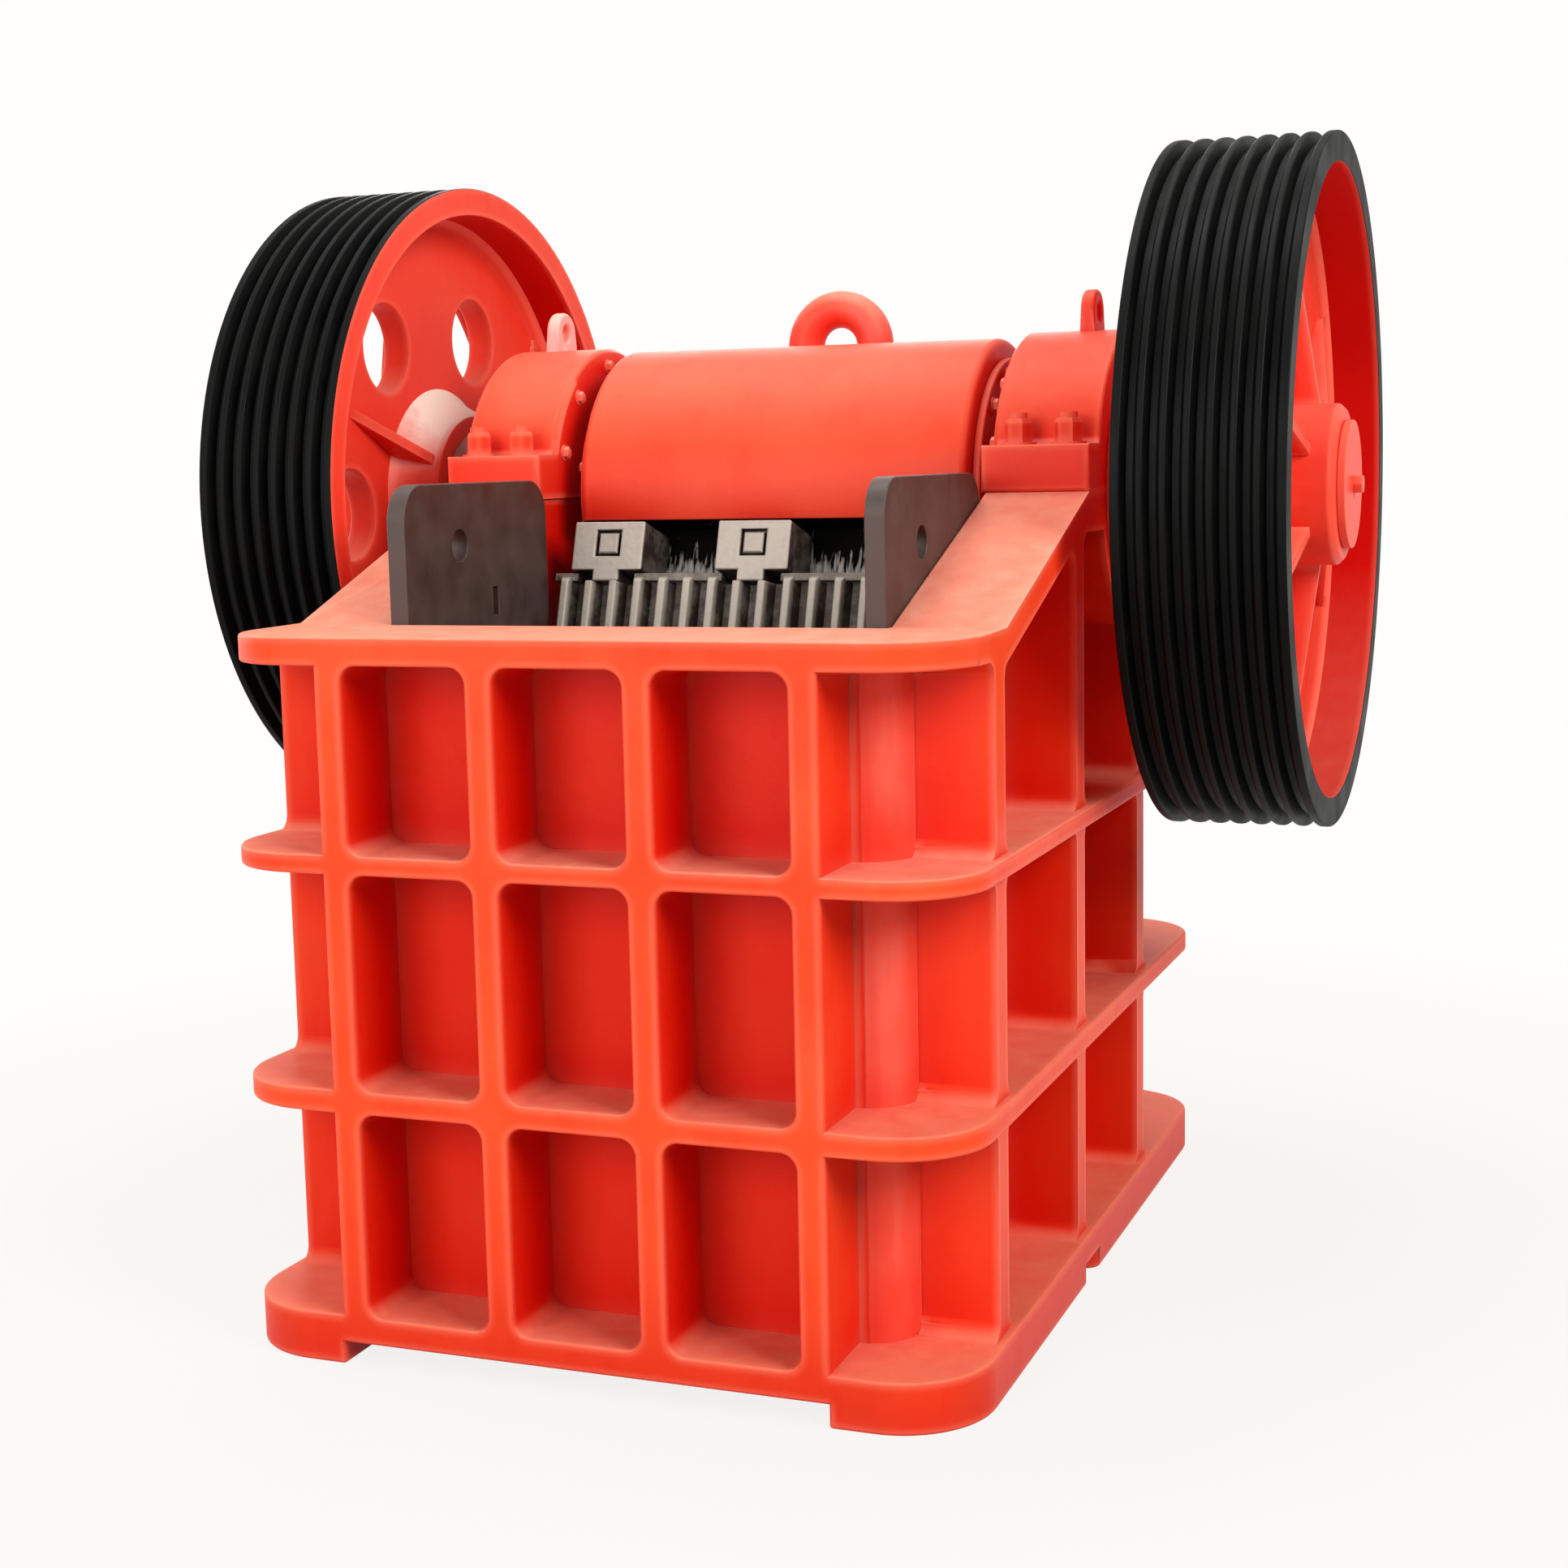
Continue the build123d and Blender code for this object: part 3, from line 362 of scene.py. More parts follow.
def painted_recess_shade():
    """Unpainted casting in the pocket behind the clamps.

    It gives black painted shade, with wisps of pale stone dust that thin out above the pocket's floor.
    """
    material, tree = new_material("painted_shade_in_the_recess")
    spot = add(tree, "ShaderNodeTexCoord").outputs["Object"]
    risen = add(tree, "ShaderNodeVectorMath", {0: spot, 1: JAW_UP}, operation="DOT_PRODUCT")
    above = add(tree, "ShaderNodeMath", {
        0: risen.outputs["Value"], 1: JAW_UP.dot(JAW_TIP)}, operation="SUBTRACT")
    tall = add(tree, "ShaderNodeMapping", {"Vector": spot, "Scale": (1.0, 0.2, 0.2)})
    wisps = add(tree, "ShaderNodeTexNoise", {"Vector": tall.outputs[0], "Scale": per_mm(6), "Detail": 4.0})
    thinning = add(tree, "ShaderNodeMapRange", {
        "Value": above.outputs[0], "From Min": 0.03, "From Max": 0.085, "To Min": 0.26, "To Max": 0.7})
    reach = add(tree, "ShaderNodeMath", {0: wisps.outputs[0], 1: thinning.outputs[0]}, operation="SUBTRACT")
    share = add(tree, "ShaderNodeMapRange", {"Value": reach.outputs[0], "From Max": 0.22, "To Max": 0.8})
    # Black painted shade, with pale dust wisps near the floor.
    colour = add(tree, "ShaderNodeMix", {
        MIX_FACTOR: share.outputs[0], MIX_A: linear("#050403"), MIX_B: linear("#C6BEB6")}, data_type="RGBA")
    shader = add(tree, "ShaderNodeBsdfPrincipled", {
        "Base Color": colour.outputs[MIX_RESULT], "Roughness": 0.85, "Specular IOR Level": RECESS_SHEEN})
    add(tree, "ShaderNodeOutputMaterial", {0: shader.outputs[0]})
    return material


def machined_steel(name, pale, dark, roughness):
    """Machined steel: a neutral metal sheen with turning and handling marks, and a little oil stain.

    The marks are drawn coarser than they are, so that they show.
    """
    material, tree = new_material(name)
    spot = add(tree, "ShaderNodeTexCoord").outputs["Object"]
    stain = add(tree, "ShaderNodeTexNoise", {"Vector": spot, "Scale": per_mm(25), "Detail": 7.0})
    share = add(tree, "ShaderNodeMapRange", {"Value": stain.outputs[0], "From Min": 0.35, "From Max": 0.7})
    colour = add(tree, "ShaderNodeMix", {
        MIX_FACTOR: share.outputs[0], MIX_A: linear(pale), MIX_B: linear(dark)}, data_type="RGBA")
    marks = add(tree, "ShaderNodeTexNoise", {"Vector": spot, "Scale": per_mm(3), "Detail": 3.0})
    marked = add(tree, "ShaderNodeBump", {"Height": marks.outputs[0], "Strength": 0.2, "Distance": 0.0005})
    shader = add(tree, "ShaderNodeBsdfPrincipled", {
        "Base Color": colour.outputs[MIX_RESULT], "Metallic": 0.85, "Roughness": roughness,
        "Normal": marked.outputs[0]})
    add(tree, "ShaderNodeOutputMaterial", {0: shader.outputs[0]})
    return material


# A red's third colour is its painted shade in pockets and corners.
enamel = red_enamel("red_enamel_on_cast_steel", "#F8542A", "#F23E18", "#D20400", dust_and_light_share=0.62)
clean_enamel = red_enamel("red_enamel_on_upper_castings", "#F85636", "#F4462A", "#DA0A02", dust_and_light_share=0.16)
wheel_enamel = red_enamel("red_enamel_on_cast_wheel", "#FA5840", "#F4442E", "#E62C1C", dust_and_light_share=0.25)
# Inside the rims: a darker red as painted shade.
shaded_rim_bore_enamel = red_enamel("red_enamel_with_painted_shade_inside_the_rims", "#E01A0E", "#D20E06", "#B80000", dust_and_light_share=0.2)
streaked_enamel = red_enamel("streaked_enamel_on_posts", "#F4482C", "#F28672", "#E03020", dust_and_light_share=0.45)
# The left lug: pale as dust and a painted highlight.
lug_dust_and_highlight_enamel = red_enamel("dust_and_painted_highlight_on_the_lug", "#FFD0C8", "#FBBCB2", "#F29A8E", dust_and_light_share=0.6)
# The boss's upward faces: dust and a painted highlight, pale cream.
boss_dust_and_highlight_enamel = red_enamel(
    "dust_and_painted_highlight_on_the_boss", "#F85038", "#F23A26", "#E85A48", dust_and_light_share=2.2, dust_and_light_colour="#FFF4E2")
rim_black = black_enamel()
primer = primed_plate()
jaw_steel = manganese_steel(
    "cast_manganese_steel_teeth", JAW_BEHIND, JAW_TIP, TOOTH_HEIGHT, TOOTH_GREY, TOOTH_PALE)
fixed_steel = manganese_steel(
    "cast_manganese_steel_fixed_teeth", Vector((0, -1, 0)), Vector((0, FIXED_TIP_Y, 0)), TOOTH_HEIGHT,
    TOOTH_GREY, TOOTH_PALE)
# Painted shade: the clamps darken a little behind their faces, so their sides read as shaded.
clamp_steel_with_painted_shade = manganese_steel(
    "cast_steel_clamps_with_painted_shade", JAW_BEHIND, JAW_TIP + JAW_BEHIND * CLAMP_INSET, CLAMP_SHADE_DEPTH,
    "#978B80", "#C8BCAF")
recess_shade = painted_recess_shade()
bright_steel = machined_steel("machined_shaft_steel", "#B9B7B2", "#8B8781", roughness=0.34)
dark_steel = machined_steel("oiled_black_steel", "#57534F", "#35312E", roughness=0.48)
cast_iron = machined_steel("rough_cast_iron", "#6E6862", "#46403B", roughness=0.62)


def in_scene(name, data):
    """An object in the scene with this mesh, lamp or camera."""
    made = bpy.data.objects.new(name, data)
    bpy.context.scene.collection.objects.link(made)
    return made


def plain_mesh(name, built):
    """An object in the scene with a mesh made from a bmesh."""
    mesh = bpy.data.meshes.new(name)
    built.to_mesh(mesh)
    built.free()
    return in_scene(name, mesh)


def merged_copy(name, node):
    """A node's shape as one connected mesh, without the slivers that joining its points leaves."""
    shape = bmesh.new()
    shape.from_mesh(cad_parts[node].data)
    bmesh.ops.remove_doubles(shape, verts=shape.verts, dist=JOIN_DISTANCE)
    bmesh.ops.dissolve_degenerate(shape, edges=shape.edges, dist=JOIN_DISTANCE / 2)
    return plain_mesh(name, shape)


def applied(piece):
    """The piece with its modifiers turned into plain mesh."""
    bpy.context.view_layer.update()
    evaluated = piece.evaluated_get(bpy.context.evaluated_depsgraph_get())
    mesh = bpy.data.meshes.new_from_object(evaluated)
    piece.modifiers.clear()
    piece.data = mesh
    return piece


def roomy(edge, chosen, width):
    """Whether the edges that meet this one leave its rounding room, apart from those that carry it on."""
    for vert in edge.verts:
        along = (edge.other_vert(vert).co - vert.co).normalized()
        for other in vert.link_edges:
            away = (other.other_vert(vert).co - vert.co).normalized()
            carries_on = other in chosen and along.dot(away) < CARRY_ON_COSINE
            if other is not edge and not carries_on and other.calc_length() < ROOM_WIDTHS * width:
                return False
    return True


def soften(piece, width, keep_sharp=None):
    """Round the piece's outward edges where there is room, apart from those at keep_sharp places."""
    shape = bmesh.new()
    shape.from_mesh(piece.data)
    bmesh.ops.dissolve_limit(shape, angle_limit=FLAT_ANGLE, verts=shape.verts, edges=shape.edges)
    weight = shape.edges.layers.float.new("bevel_weight_edge")
    chosen = set()
    for edge in shape.edges:
        if len(edge.link_faces) != 2 or edge.calc_face_angle_signed(0.0) < SHARP_ANGLE:
            continue
        middle = (edge.verts[0].co + edge.verts[1].co) / 2
        if keep_sharp is None or not keep_sharp(middle):
            chosen.add(edge)
    for _ in range(ROOM_SWEEPS):
        chosen -= {edge for edge in chosen if not roomy(edge, chosen, width)}
    for edge in chosen:
        edge[weight] = 1.0
    shape.to_mesh(piece.data)
    shape.free()
    bevel = piece.modifiers.new("rounded_edges", "BEVEL")
    bevel.limit_method = "WEIGHT"
    bevel.width = width
    bevel.segments = ROUNDING_STEPS
    bevel.use_clamp_overlap = False
    applied(piece)
    piece.data.polygons.foreach_set("use_smooth", [True] * len(piece.data.polygons))
    piece.data.set_sharp_from_angle(angle=SMOOTH_ANGLE)
    flat = piece.modifiers.new("flat_faces_stay_flat", "WEIGHTED_NORMAL")
    flat.mode = "FACE_AREA"
    flat.weight = LARGE_FACE_WEIGHT
    flat.keep_sharp = True
    applied(piece)


def cast_piece(name, nodes, body, material, width, keep_sharp=None):
    """A rounded copy of one node, or of several that are one casting, standing for them on their body."""
    piece = merged_copy(name, nodes[0])
    others = [merged_copy(name + "_part", node) for node in nodes[1:]]
    for other in others:
        union = piece.modifiers.new("one_casting", "BOOLEAN")
        union.operation = "UNION"
        union.solver = "EXACT"
        union.object = other
        applied(piece)
    for other in others:
        bpy.data.objects.remove(other)
    soften(piece, width, keep_sharp)
    piece.data.materials.clear()
    piece.data.materials.append(material)
    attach(piece, body)
    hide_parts(*nodes)
    return piece


def paint_faces(piece, material, chosen):
    """Give a second finish to the faces whose corner points and normal pass the test."""
    piece.data.materials.append(material)
    index = len(piece.data.materials) - 1
    for face in piece.data.polygons:
        corners = [piece.data.vertices[vertex].co for vertex in face.vertices]
        if chosen(corners, face.normal):
            face.material_index = index


def from_shaft(point):
    """A point's distance from the shaft's axis."""
    return math.hypot(point.y - SHAFT_Y, point.z - SHAFT_Z)


def mean(values):
    """The mean of some numbers."""
    values = list(values)
    return sum(values) / len(values)


def off_flange_edges(point):
    """The side walls' upright and sloping edges, which run into the small fillets at the flanges."""
    return abs(point.x) > SIDE_WALL_X and all(abs(point.z - level) > LEVEL_NEAR for level in FLANGE_FACES)


def on_corner_post(corners, normal):
    """The round posts where the side walls turn into the front wall."""
    return all(math.hypot(abs(c.x) - POST_CENTRE[0], c.y - POST_CENTRE[1]) < POST_R + NEAR for c in corners)


def on_lug(corners, normal):
    """The lifting lug that stands on a bearing cap."""
    return max(corner.z for corner in corners) > SHAFT_Z + CAP_R + NEAR


def inside_rim(corners, normal):
    """The rim's bore, on both sides of the web."""
    return mean(from_shaft(corner) for corner in corners) < RIM_INNER_R + LEVEL_NEAR


def on_rim_end(corners, normal):
    """The rim's end face on the side towards the frame, with the rounded edge inside it."""
    radius = mean(from_shaft(corner) for corner in corners)
    reach = mean(abs(corner.x) for corner in corners)
    at_end = reach < WHEEL_INNER_X + RIM_END_DEPTH and radius < WHEEL_R - NEAR
    return at_end and not inside_rim(corners, normal)


def on_boss(corners, normal):
    """The tapered boss on the side of the web towards the frame, apart from its end face."""
    return max(abs(corner.x) for corner in corners) < WEB_INNER_X + NEAR and abs(normal.x) < FACING_COSINE


def beside_hub(point):
    """Edges of the wheel's web that lie against the hub or the rim."""
    radius = from_shaft(point)
    if abs(point.x) < WEB_INNER_X + NEAR:
        against_hub = radius < BOSS_ROOT_R + NEAR
    else:
        against_hub = radius < HUB_R + WEB_JOINT
    return against_hub or radius > RIM_INNER_R - WEB_JOINT


def against_web(point):
    """Edges of the hub that lie against the two faces of the web."""
    return any(abs(abs(point.x) - face_x) < NEAR for face_x in (WEB_INNER_X, WEB_OUTER_X))


def in_recess(corners, normal):
    """The walls and the ceiling of the pocket behind the clamps."""
    behind = mean((corner - JAW_TIP).dot(JAW_BEHIND) for corner in corners)
    up = mean((corner - JAW_TIP).dot(JAW_UP) for corner in corners)
    inside = behind < RECESS_BACK + RECESS_MARGIN and -RECESS_MARGIN < up < LIP_RISE + LIP_MARGIN
    return inside and normal.dot(JAW_UP) < FACING_COSINE


# The frame, and what both sides have.
frame_casting = cast_piece(
    "frame_casting", ["front_wall", "left_side_wall", "right_side_wall", "rear_wall"], "frame",
    enamel, FRAME_ROUNDING, off_flange_edges)
paint_faces(frame_casting, streaked_enamel, on_corner_post)
for side in ("left", "right"):
    cap = cast_piece(
        side + "_cap_casting", [side + "_bearing_cap"], "frame", clean_enamel, CAP_ROUNDING)
    cast_piece(
        side + "_cover_ring", [side + "_bearing_cover"], "frame", clean_enamel, PLATE_ROUNDING)
    for cheek in (side + "_upper_cheek", side + "_lower_cheek"):
        cast_piece(cheek, [cheek + "_plate"], "frame", primer, PLATE_ROUNDING)
    cast_piece(
        side + "_barrel_cover", [side + "_end_cover"], "swing_jaw", clean_enamel,
        BLOCK_ROUNDING)
    rim = cast_piece(
        side + "_wheel_rim", [side + "_flywheel_rim"], "rotor", rim_black, PLATE_ROUNDING)
    # Painted shade: the rims' bores take the darker red.
    paint_faces(rim, shaded_rim_bore_enamel, inside_rim)
    paint_faces(rim, wheel_enamel, on_rim_end)
    cast_piece(
        side + "_wheel_web", [side + "_flywheel"], "rotor", wheel_enamel, FRAME_ROUNDING,
        beside_hub)
    hub = cast_piece(
        side + "_wheel_hub", [side + "_flywheel_hub"], "rotor", wheel_enamel, BLOCK_ROUNDING,
        against_web)
    cast_piece(
        side + "_hub_cap", [side + "_hub_end_plate"], "rotor", wheel_enamel, PLATE_ROUNDING)
    if side == "left":
        # Dust and a painted highlight on the left lug.
        paint_faces(cap, lug_dust_and_highlight_enamel, on_lug)
        # Dust and a painted highlight on the left boss.
        paint_faces(hub, boss_dust_and_highlight_enamel, on_boss)

# The jaw with its eye, the teeth and clamps, what stands behind the jaw, and the shaft.
jaw_casting = cast_piece("jaw_casting", ["swing_jaw"], "swing_jaw", clean_enamel, JAW_ROUNDING)
# Painted shade: the pocket behind the clamps is black, with pale dust at its foot.
paint_faces(jaw_casting, recess_shade, in_recess)
cast_piece("jaw_lifting_eye", ["lifting_eye"], "swing_jaw", streaked_enamel, PLATE_ROUNDING)
cast_piece("moving_teeth", ["moving_jaw_plate"], "swing_jaw", jaw_steel, PLATE_ROUNDING)
cast_piece("fixed_teeth", ["fixed_jaw_plate"], "frame", fixed_steel, PLATE_ROUNDING)
for where in ("left", "middle", "right"):
    cast_piece(
        where + "_clamp", [where + "_clamp_block"], "swing_jaw", clamp_steel_with_painted_shade, BLOCK_ROUNDING)
cast_piece("toggle_bar", ["toggle_plate"], "frame", cast_iron, BLOCK_ROUNDING)
cast_piece("rear_seat", ["rear_toggle_seat"], "frame", dark_steel, PLATE_ROUNDING)
cast_piece("jaw_seat", ["jaw_toggle_seat"], "swing_jaw", dark_steel, PLATE_ROUNDING)
cast_piece("pull_rod", ["tension_rod"], "swing_jaw", dark_steel, ROD_ROUNDING)
cast_piece("shaft_body", ["eccentric_shaft"], "rotor", bright_steel, PLATE_ROUNDING)


def new_group(name, start, sizes, result):
    """A node group with a geometry input, named sizes and a geometry output, and what its inputs give."""
    tree = bpy.data.node_groups.new(name, "GeometryNodeTree")
    tree.interface.new_socket(name=start, in_out="INPUT", socket_type="NodeSocketGeometry")
    for size in sizes:
        tree.interface.new_socket(name=size, in_out="INPUT", socket_type="NodeSocketFloat")
    tree.interface.new_socket(name=result, in_out="OUTPUT", socket_type="NodeSocketGeometry")
    return tree, add(tree, "NodeGroupInput").outputs


def grown(piece, tree, sizes):
    """The piece as the node group makes it with these sizes, as plain mesh."""
    modifier = piece.modifiers.new(tree.name, "NODES")
    modifier.node_group = tree
    identifiers = {socket.name: socket.identifier for socket in tree.interface.items_tree}
    for size, value in sizes.items():
        modifier[identifiers[size]] = value
    return applied(piece)


def bolt_tree(name, corners, material):
    """A node group that sets a bolt with its washer and stud end at each point, along the point's axis."""
    tree, given = new_group(
        name, "Points", ("Head Radius", "Head Height", "Washer Radius", "Washer Height", "Stud Radius",
                         "Stud Height", "Turn"), "Bolts")

    def lifted(mesh, height):
        up = add(tree, "ShaderNodeCombineXYZ", {2: height.outputs[0]})
        return add(tree, "GeometryNodeTransform", {"Geometry": mesh.outputs[0], "Translation": up.outputs[0]})

    def joined(shapes):
        whole = add(tree, "GeometryNodeJoinGeometry")
        for shape in shapes:
            tree.links.new(shape.outputs[0], whole.inputs[0])
        return whole.outputs[0]

    washer_h = given["Washer Height"]
    head_h = given["Head Height"]
    stud_h = given["Stud Height"]
    washer_middle = add(tree, "ShaderNodeMath", {0: washer_h, 1: 0.5}, operation="MULTIPLY")
    straight = add(tree, "ShaderNodeMath", {0: head_h, 1: STRAIGHT_SHARE}, operation="MULTIPLY")
    half_straight = add(tree, "ShaderNodeMath", {0: straight.outputs[0], 1: 0.5}, operation="MULTIPLY")
    head_middle = add(tree, "ShaderNodeMath", {0: washer_h, 1: half_straight.outputs[0]}, operation="ADD")
    crown_foot = add(tree, "ShaderNodeMath", {0: washer_h, 1: straight.outputs[0]}, operation="ADD")
    crown_h = add(tree, "ShaderNodeMath", {0: head_h, 1: CROWN_SHARE}, operation="MULTIPLY")
    crown_r = add(tree, "ShaderNodeMath", {0: given["Head Radius"], 1: CROWN_WIDTH}, operation="MULTIPLY")
    head_top = add(tree, "ShaderNodeMath", {0: washer_h, 1: head_h}, operation="ADD")
    half_stud = add(tree, "ShaderNodeMath", {0: stud_h, 1: 0.5}, operation="MULTIPLY")
    stud_middle = add(tree, "ShaderNodeMath", {
        0: head_top.outputs[0], 1: half_stud.outputs[0]}, operation="ADD")

    washer = add(tree, "GeometryNodeMeshCylinder", {
        "Vertices": WASHER_SIDES, "Radius": given["Washer Radius"], "Depth": washer_h})
    head = add(tree, "GeometryNodeMeshCylinder", {
        "Vertices": corners, "Radius": given["Head Radius"], "Depth": straight.outputs[0]})
    open_head = add(tree, "GeometryNodeDeleteGeometry", {
        "Geometry": head.outputs[0], "Selection": head.outputs["Top"]}, domain="FACE")
    crown = add(tree, "GeometryNodeMeshCone", {
        "Vertices": corners, "Radius Bottom": given["Head Radius"], "Radius Top": crown_r.outputs[0],
        "Depth": crown_h.outputs[0]})
    open_crown = add(tree, "GeometryNodeDeleteGeometry", {
        "Geometry": crown.outputs[0], "Selection": crown.outputs["Bottom"]}, domain="FACE")
    whole_head = add(tree, "GeometryNodeMergeByDistance", {
        "Geometry": joined((lifted(open_head, head_middle), lifted(open_crown, crown_foot))),
        "Distance": JOIN_DISTANCE})
    stud = add(tree, "GeometryNodeMeshCylinder", {
        "Vertices": STUD_SIDES, "Radius": given["Stud Radius"], "Depth": stud_h})
    bolt = joined((lifted(washer, washer_middle), whole_head, lifted(stud, stud_middle)))
    twist = add(tree, "ShaderNodeCombineXYZ", {2: given["Turn"]})
    twisted = add(tree, "GeometryNodeTransform", {"Geometry": bolt, "Rotation": twist.outputs[0]})
    axis = add(tree, "GeometryNodeInputNamedAttribute", {"Name": "axis"}, data_type="FLOAT_VECTOR")
    lean = add(tree, "FunctionNodeAlignRotationToVector", {"Vector": axis.outputs[0]}, axis="Z")
    placed = add(tree, "GeometryNodeInstanceOnPoints", {
        "Points": given["Points"], "Instance": twisted.outputs[0], "Rotation": lean.outputs[0]})
    real = add(tree, "GeometryNodeRealizeInstances", {0: placed.outputs[0]})
    finished = add(tree, "GeometryNodeSetMaterial", {"Geometry": real.outputs[0], "Material": material})
    add(tree, "NodeGroupOutput", {0: finished.outputs[0]})
    return tree


def bolts(name, body, tree, places, sizes):
    """A set of like bolts on one body. places are (point, axis) pairs, and sizes the node group's own."""
    mesh = bpy.data.meshes.new(name)
    mesh.from_pydata([tuple(point) for point, _ in places], [], [])
    axes = mesh.attributes.new("axis", "FLOAT_VECTOR", "POINT")
    for element, (_, axis) in zip(axes.data, places):
        element.vector = axis
    piece = grown(in_scene(name, mesh), tree, sizes)
    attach(piece, body)


def round_shaft(x, radius, angle):
    """The point at an angle round the shaft's axis."""
    return Vector((x, SHAFT_Y + radius * math.cos(angle), SHAFT_Z + radius * math.sin(angle)))


def ring_places(reach, radius, count, turn):
    """Places evenly round the shaft's axis, on two faces that look outwards along X."""
    places = []
    for sign in BOTH_SIDES:
        for step in range(count):
            angle = turn + 2 * math.pi * step / count
            places.append((round_shaft(sign * reach, radius, angle), Vector((sign, 0, 0))))
    return places


hex_bolts = bolt_tree("painted_hex_bolts", corners=6, material=enamel)
square_bolts = bolt_tree("square_head_bolts", corners=4, material=clamp_steel_with_painted_shade)

cap_places = []
for sign in BOTH_SIDES:
    for x in CAP_BOLT_X:
        for y in (SHAFT_Y - SEAT_HALF + CAP_BOLT_INSET, SHAFT_Y + SEAT_HALF - CAP_BOLT_INSET):
            cap_places.append((Vector((sign * x, y, CAP_FOOT_TOP)), UP))
bolts("cap_nuts", "frame", hex_bolts, cap_places, {
    "Head Radius": 0.02, "Head Height": 0.033, "Washer Radius": 0.025, "Washer Height": 0.003,
    "Stud Radius": 0.013, "Stud Height": 0.008})

barrel_places = ring_places(
    BARREL_HALF + END_COVER_T, END_COVER_R - BARREL_BOLT_INSET, BARREL_BOLTS, BARREL_BOLT_TURN)
bolts("barrel_cover_bolts", "swing_jaw", hex_bolts, barrel_places, {
    "Head Radius": 0.0105, "Head Height": 0.008, "Washer Radius": 0.013, "Washer Height": 0.002,
    "Stud Radius": 0.005, "Stud Height": 0.001})

cover_places = ring_places(
    FLANGE_HALF + BEARING_COVER_T, BEARING_COVER_R - COVER_BOLT_INSET, COVER_BOLTS, COVER_BOLT_TURN)
bolts("bearing_cover_bolts", "frame", hex_bolts, cover_places, {
    "Head Radius": 0.0115, "Head Height": 0.009, "Washer Radius": 0.015, "Washer Height": 0.0025,
    "Stud Radius": 0.006, "Stud Height": 0.001})

cap_end_places = []
for sign in BOTH_SIDES:
    for angle in CAP_END_BOLT_ANGLES:
        cap_end_places.append((round_shaft(sign * CAP_INNER_X, CAP_END_BOLT_R, angle), Vector((-sign, 0, 0))))
bolts("cap_end_bolts", "frame", hex_bolts, cap_end_places, {
    "Head Radius": 0.0095, "Head Height": 0.007, "Washer Radius": 0.012, "Washer Height": 0.002,
    "Stud Radius": 0.005, "Stud Height": 0.001})

nipple_z = SHAFT_Z + CAP_R - NIPPLE_SINK
nipple_places = [(Vector((sign * NIPPLE_X, SHAFT_Y, nipple_z)), UP) for sign in BOTH_SIDES]
bolts("grease_nipples", "frame", hex_bolts, nipple_places, {
    "Head Radius": 0.007, "Head Height": 0.009, "Washer Radius": 0.008, "Washer Height": 0.001,
    "Stud Radius": 0.0045, "Stud Height": 0.01})

bolt_well = JAW_TIP + JAW_BEHIND * (CLAMP_INSET + BOLT_WELL_DEPTH) + JAW_UP * BOLT_WELL_UP
clamp_places = [(bolt_well + Vector((step * CLAMP_PITCH, 0, 0)), -JAW_BEHIND) for step in (-1, 0, 1)]
bolts("clamp_bolts", "swing_jaw", square_bolts, clamp_places, {
    "Head Radius": 0.0219, "Head Height": 0.0105, "Washer Radius": 0.014, "Washer Height": 0.0005,
    "Stud Radius": 0.004, "Stud Height": 0.0002, "Turn": math.pi / 4})


def coil_tree(material):
    """A node group that winds a round bar into a helix of given radius, turns and length."""
    tree, given = new_group("wound_spring", "Start", ("Coil Radius", "Bar Radius", "Turns", "Length"), "Coil")
    helix = add(tree, "GeometryNodeCurveSpiral", {
        "Resolution": 24, "Rotations": given["Turns"], "Start Radius": given["Coil Radius"],
        "End Radius": given["Coil Radius"], "Height": given["Length"]})
    bar = add(tree, "GeometryNodeCurvePrimitiveCircle", {"Resolution": 14, "Radius": given["Bar Radius"]})
    wound = add(tree, "GeometryNodeCurveToMesh", {
        "Curve": helix.outputs[0], "Profile Curve": bar.outputs[0], "Fill Caps": True})
    laid = add(tree, "GeometryNodeTransform", {
        "Geometry": wound.outputs[0], "Rotation": (-math.pi / 2, 0, 0)})
    smooth = add(tree, "GeometryNodeSetShadeSmooth", {0: laid.outputs[0]})
    real = add(tree, "GeometryNodeRealizeInstances", {0: smooth.outputs[0]})
    finished = add(tree, "GeometryNodeSetMaterial", {"Geometry": real.outputs[0], "Material": material})
    add(tree, "NodeGroupOutput", {0: finished.outputs[0]})
    return tree


coil = grown(in_scene("spring_coil", bpy.data.meshes.new("spring_coil")), coil_tree(dark_steel), {
    "Coil Radius": SPRING_COIL_R, "Bar Radius": SPRING_BAR_R, "Turns": SPRING_TURNS,
    "Length": SPRING_LENGTH - 2 * SPRING_BAR_R})
coil.data.transform(Matrix.Translation((0, SPRING_START_Y + SPRING_BAR_R, ROD_Z)))
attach(coil, "frame")
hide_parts("tension_spring")
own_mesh(coil)

# The studio: a white floor and world, soft lamps, and the camera.
STUDIO_WHITE = "#FFFEFC"
FLOOR_SIZE = 30.0
UNDER_INSET = 0.2
UNDER_END_INSET = 0.14
WORLD_LIGHT = 0.12
CAMERA_PLACE = Vector((1.2772, -3.27455, 1.1654))
CAMERA_YAW = math.radians(21.03)
CAMERA_PITCH = math.radians(7.90)
CAMERA_ROLL = math.radians(-1.19)
CAMERA_LENS = 54.305
CAMERA_SENSOR = 36.0


def seen_rays(tree):
    """One for what is seen straight, mirrored or through something clear, and nought for cast light."""
    path = add(tree, "ShaderNodeLightPath")
    mirrored = add(tree, "ShaderNodeMath", {
        0: path.outputs["Is Glossy Ray"], 1: path.outputs["Is Transmission Ray"]}, operation="MAXIMUM")
    seen = add(tree, "ShaderNodeMath", {
        0: path.outputs["Is Camera Ray"], 1: mirrored.outputs[0]}, operation="MAXIMUM")
    return seen.outputs[0]


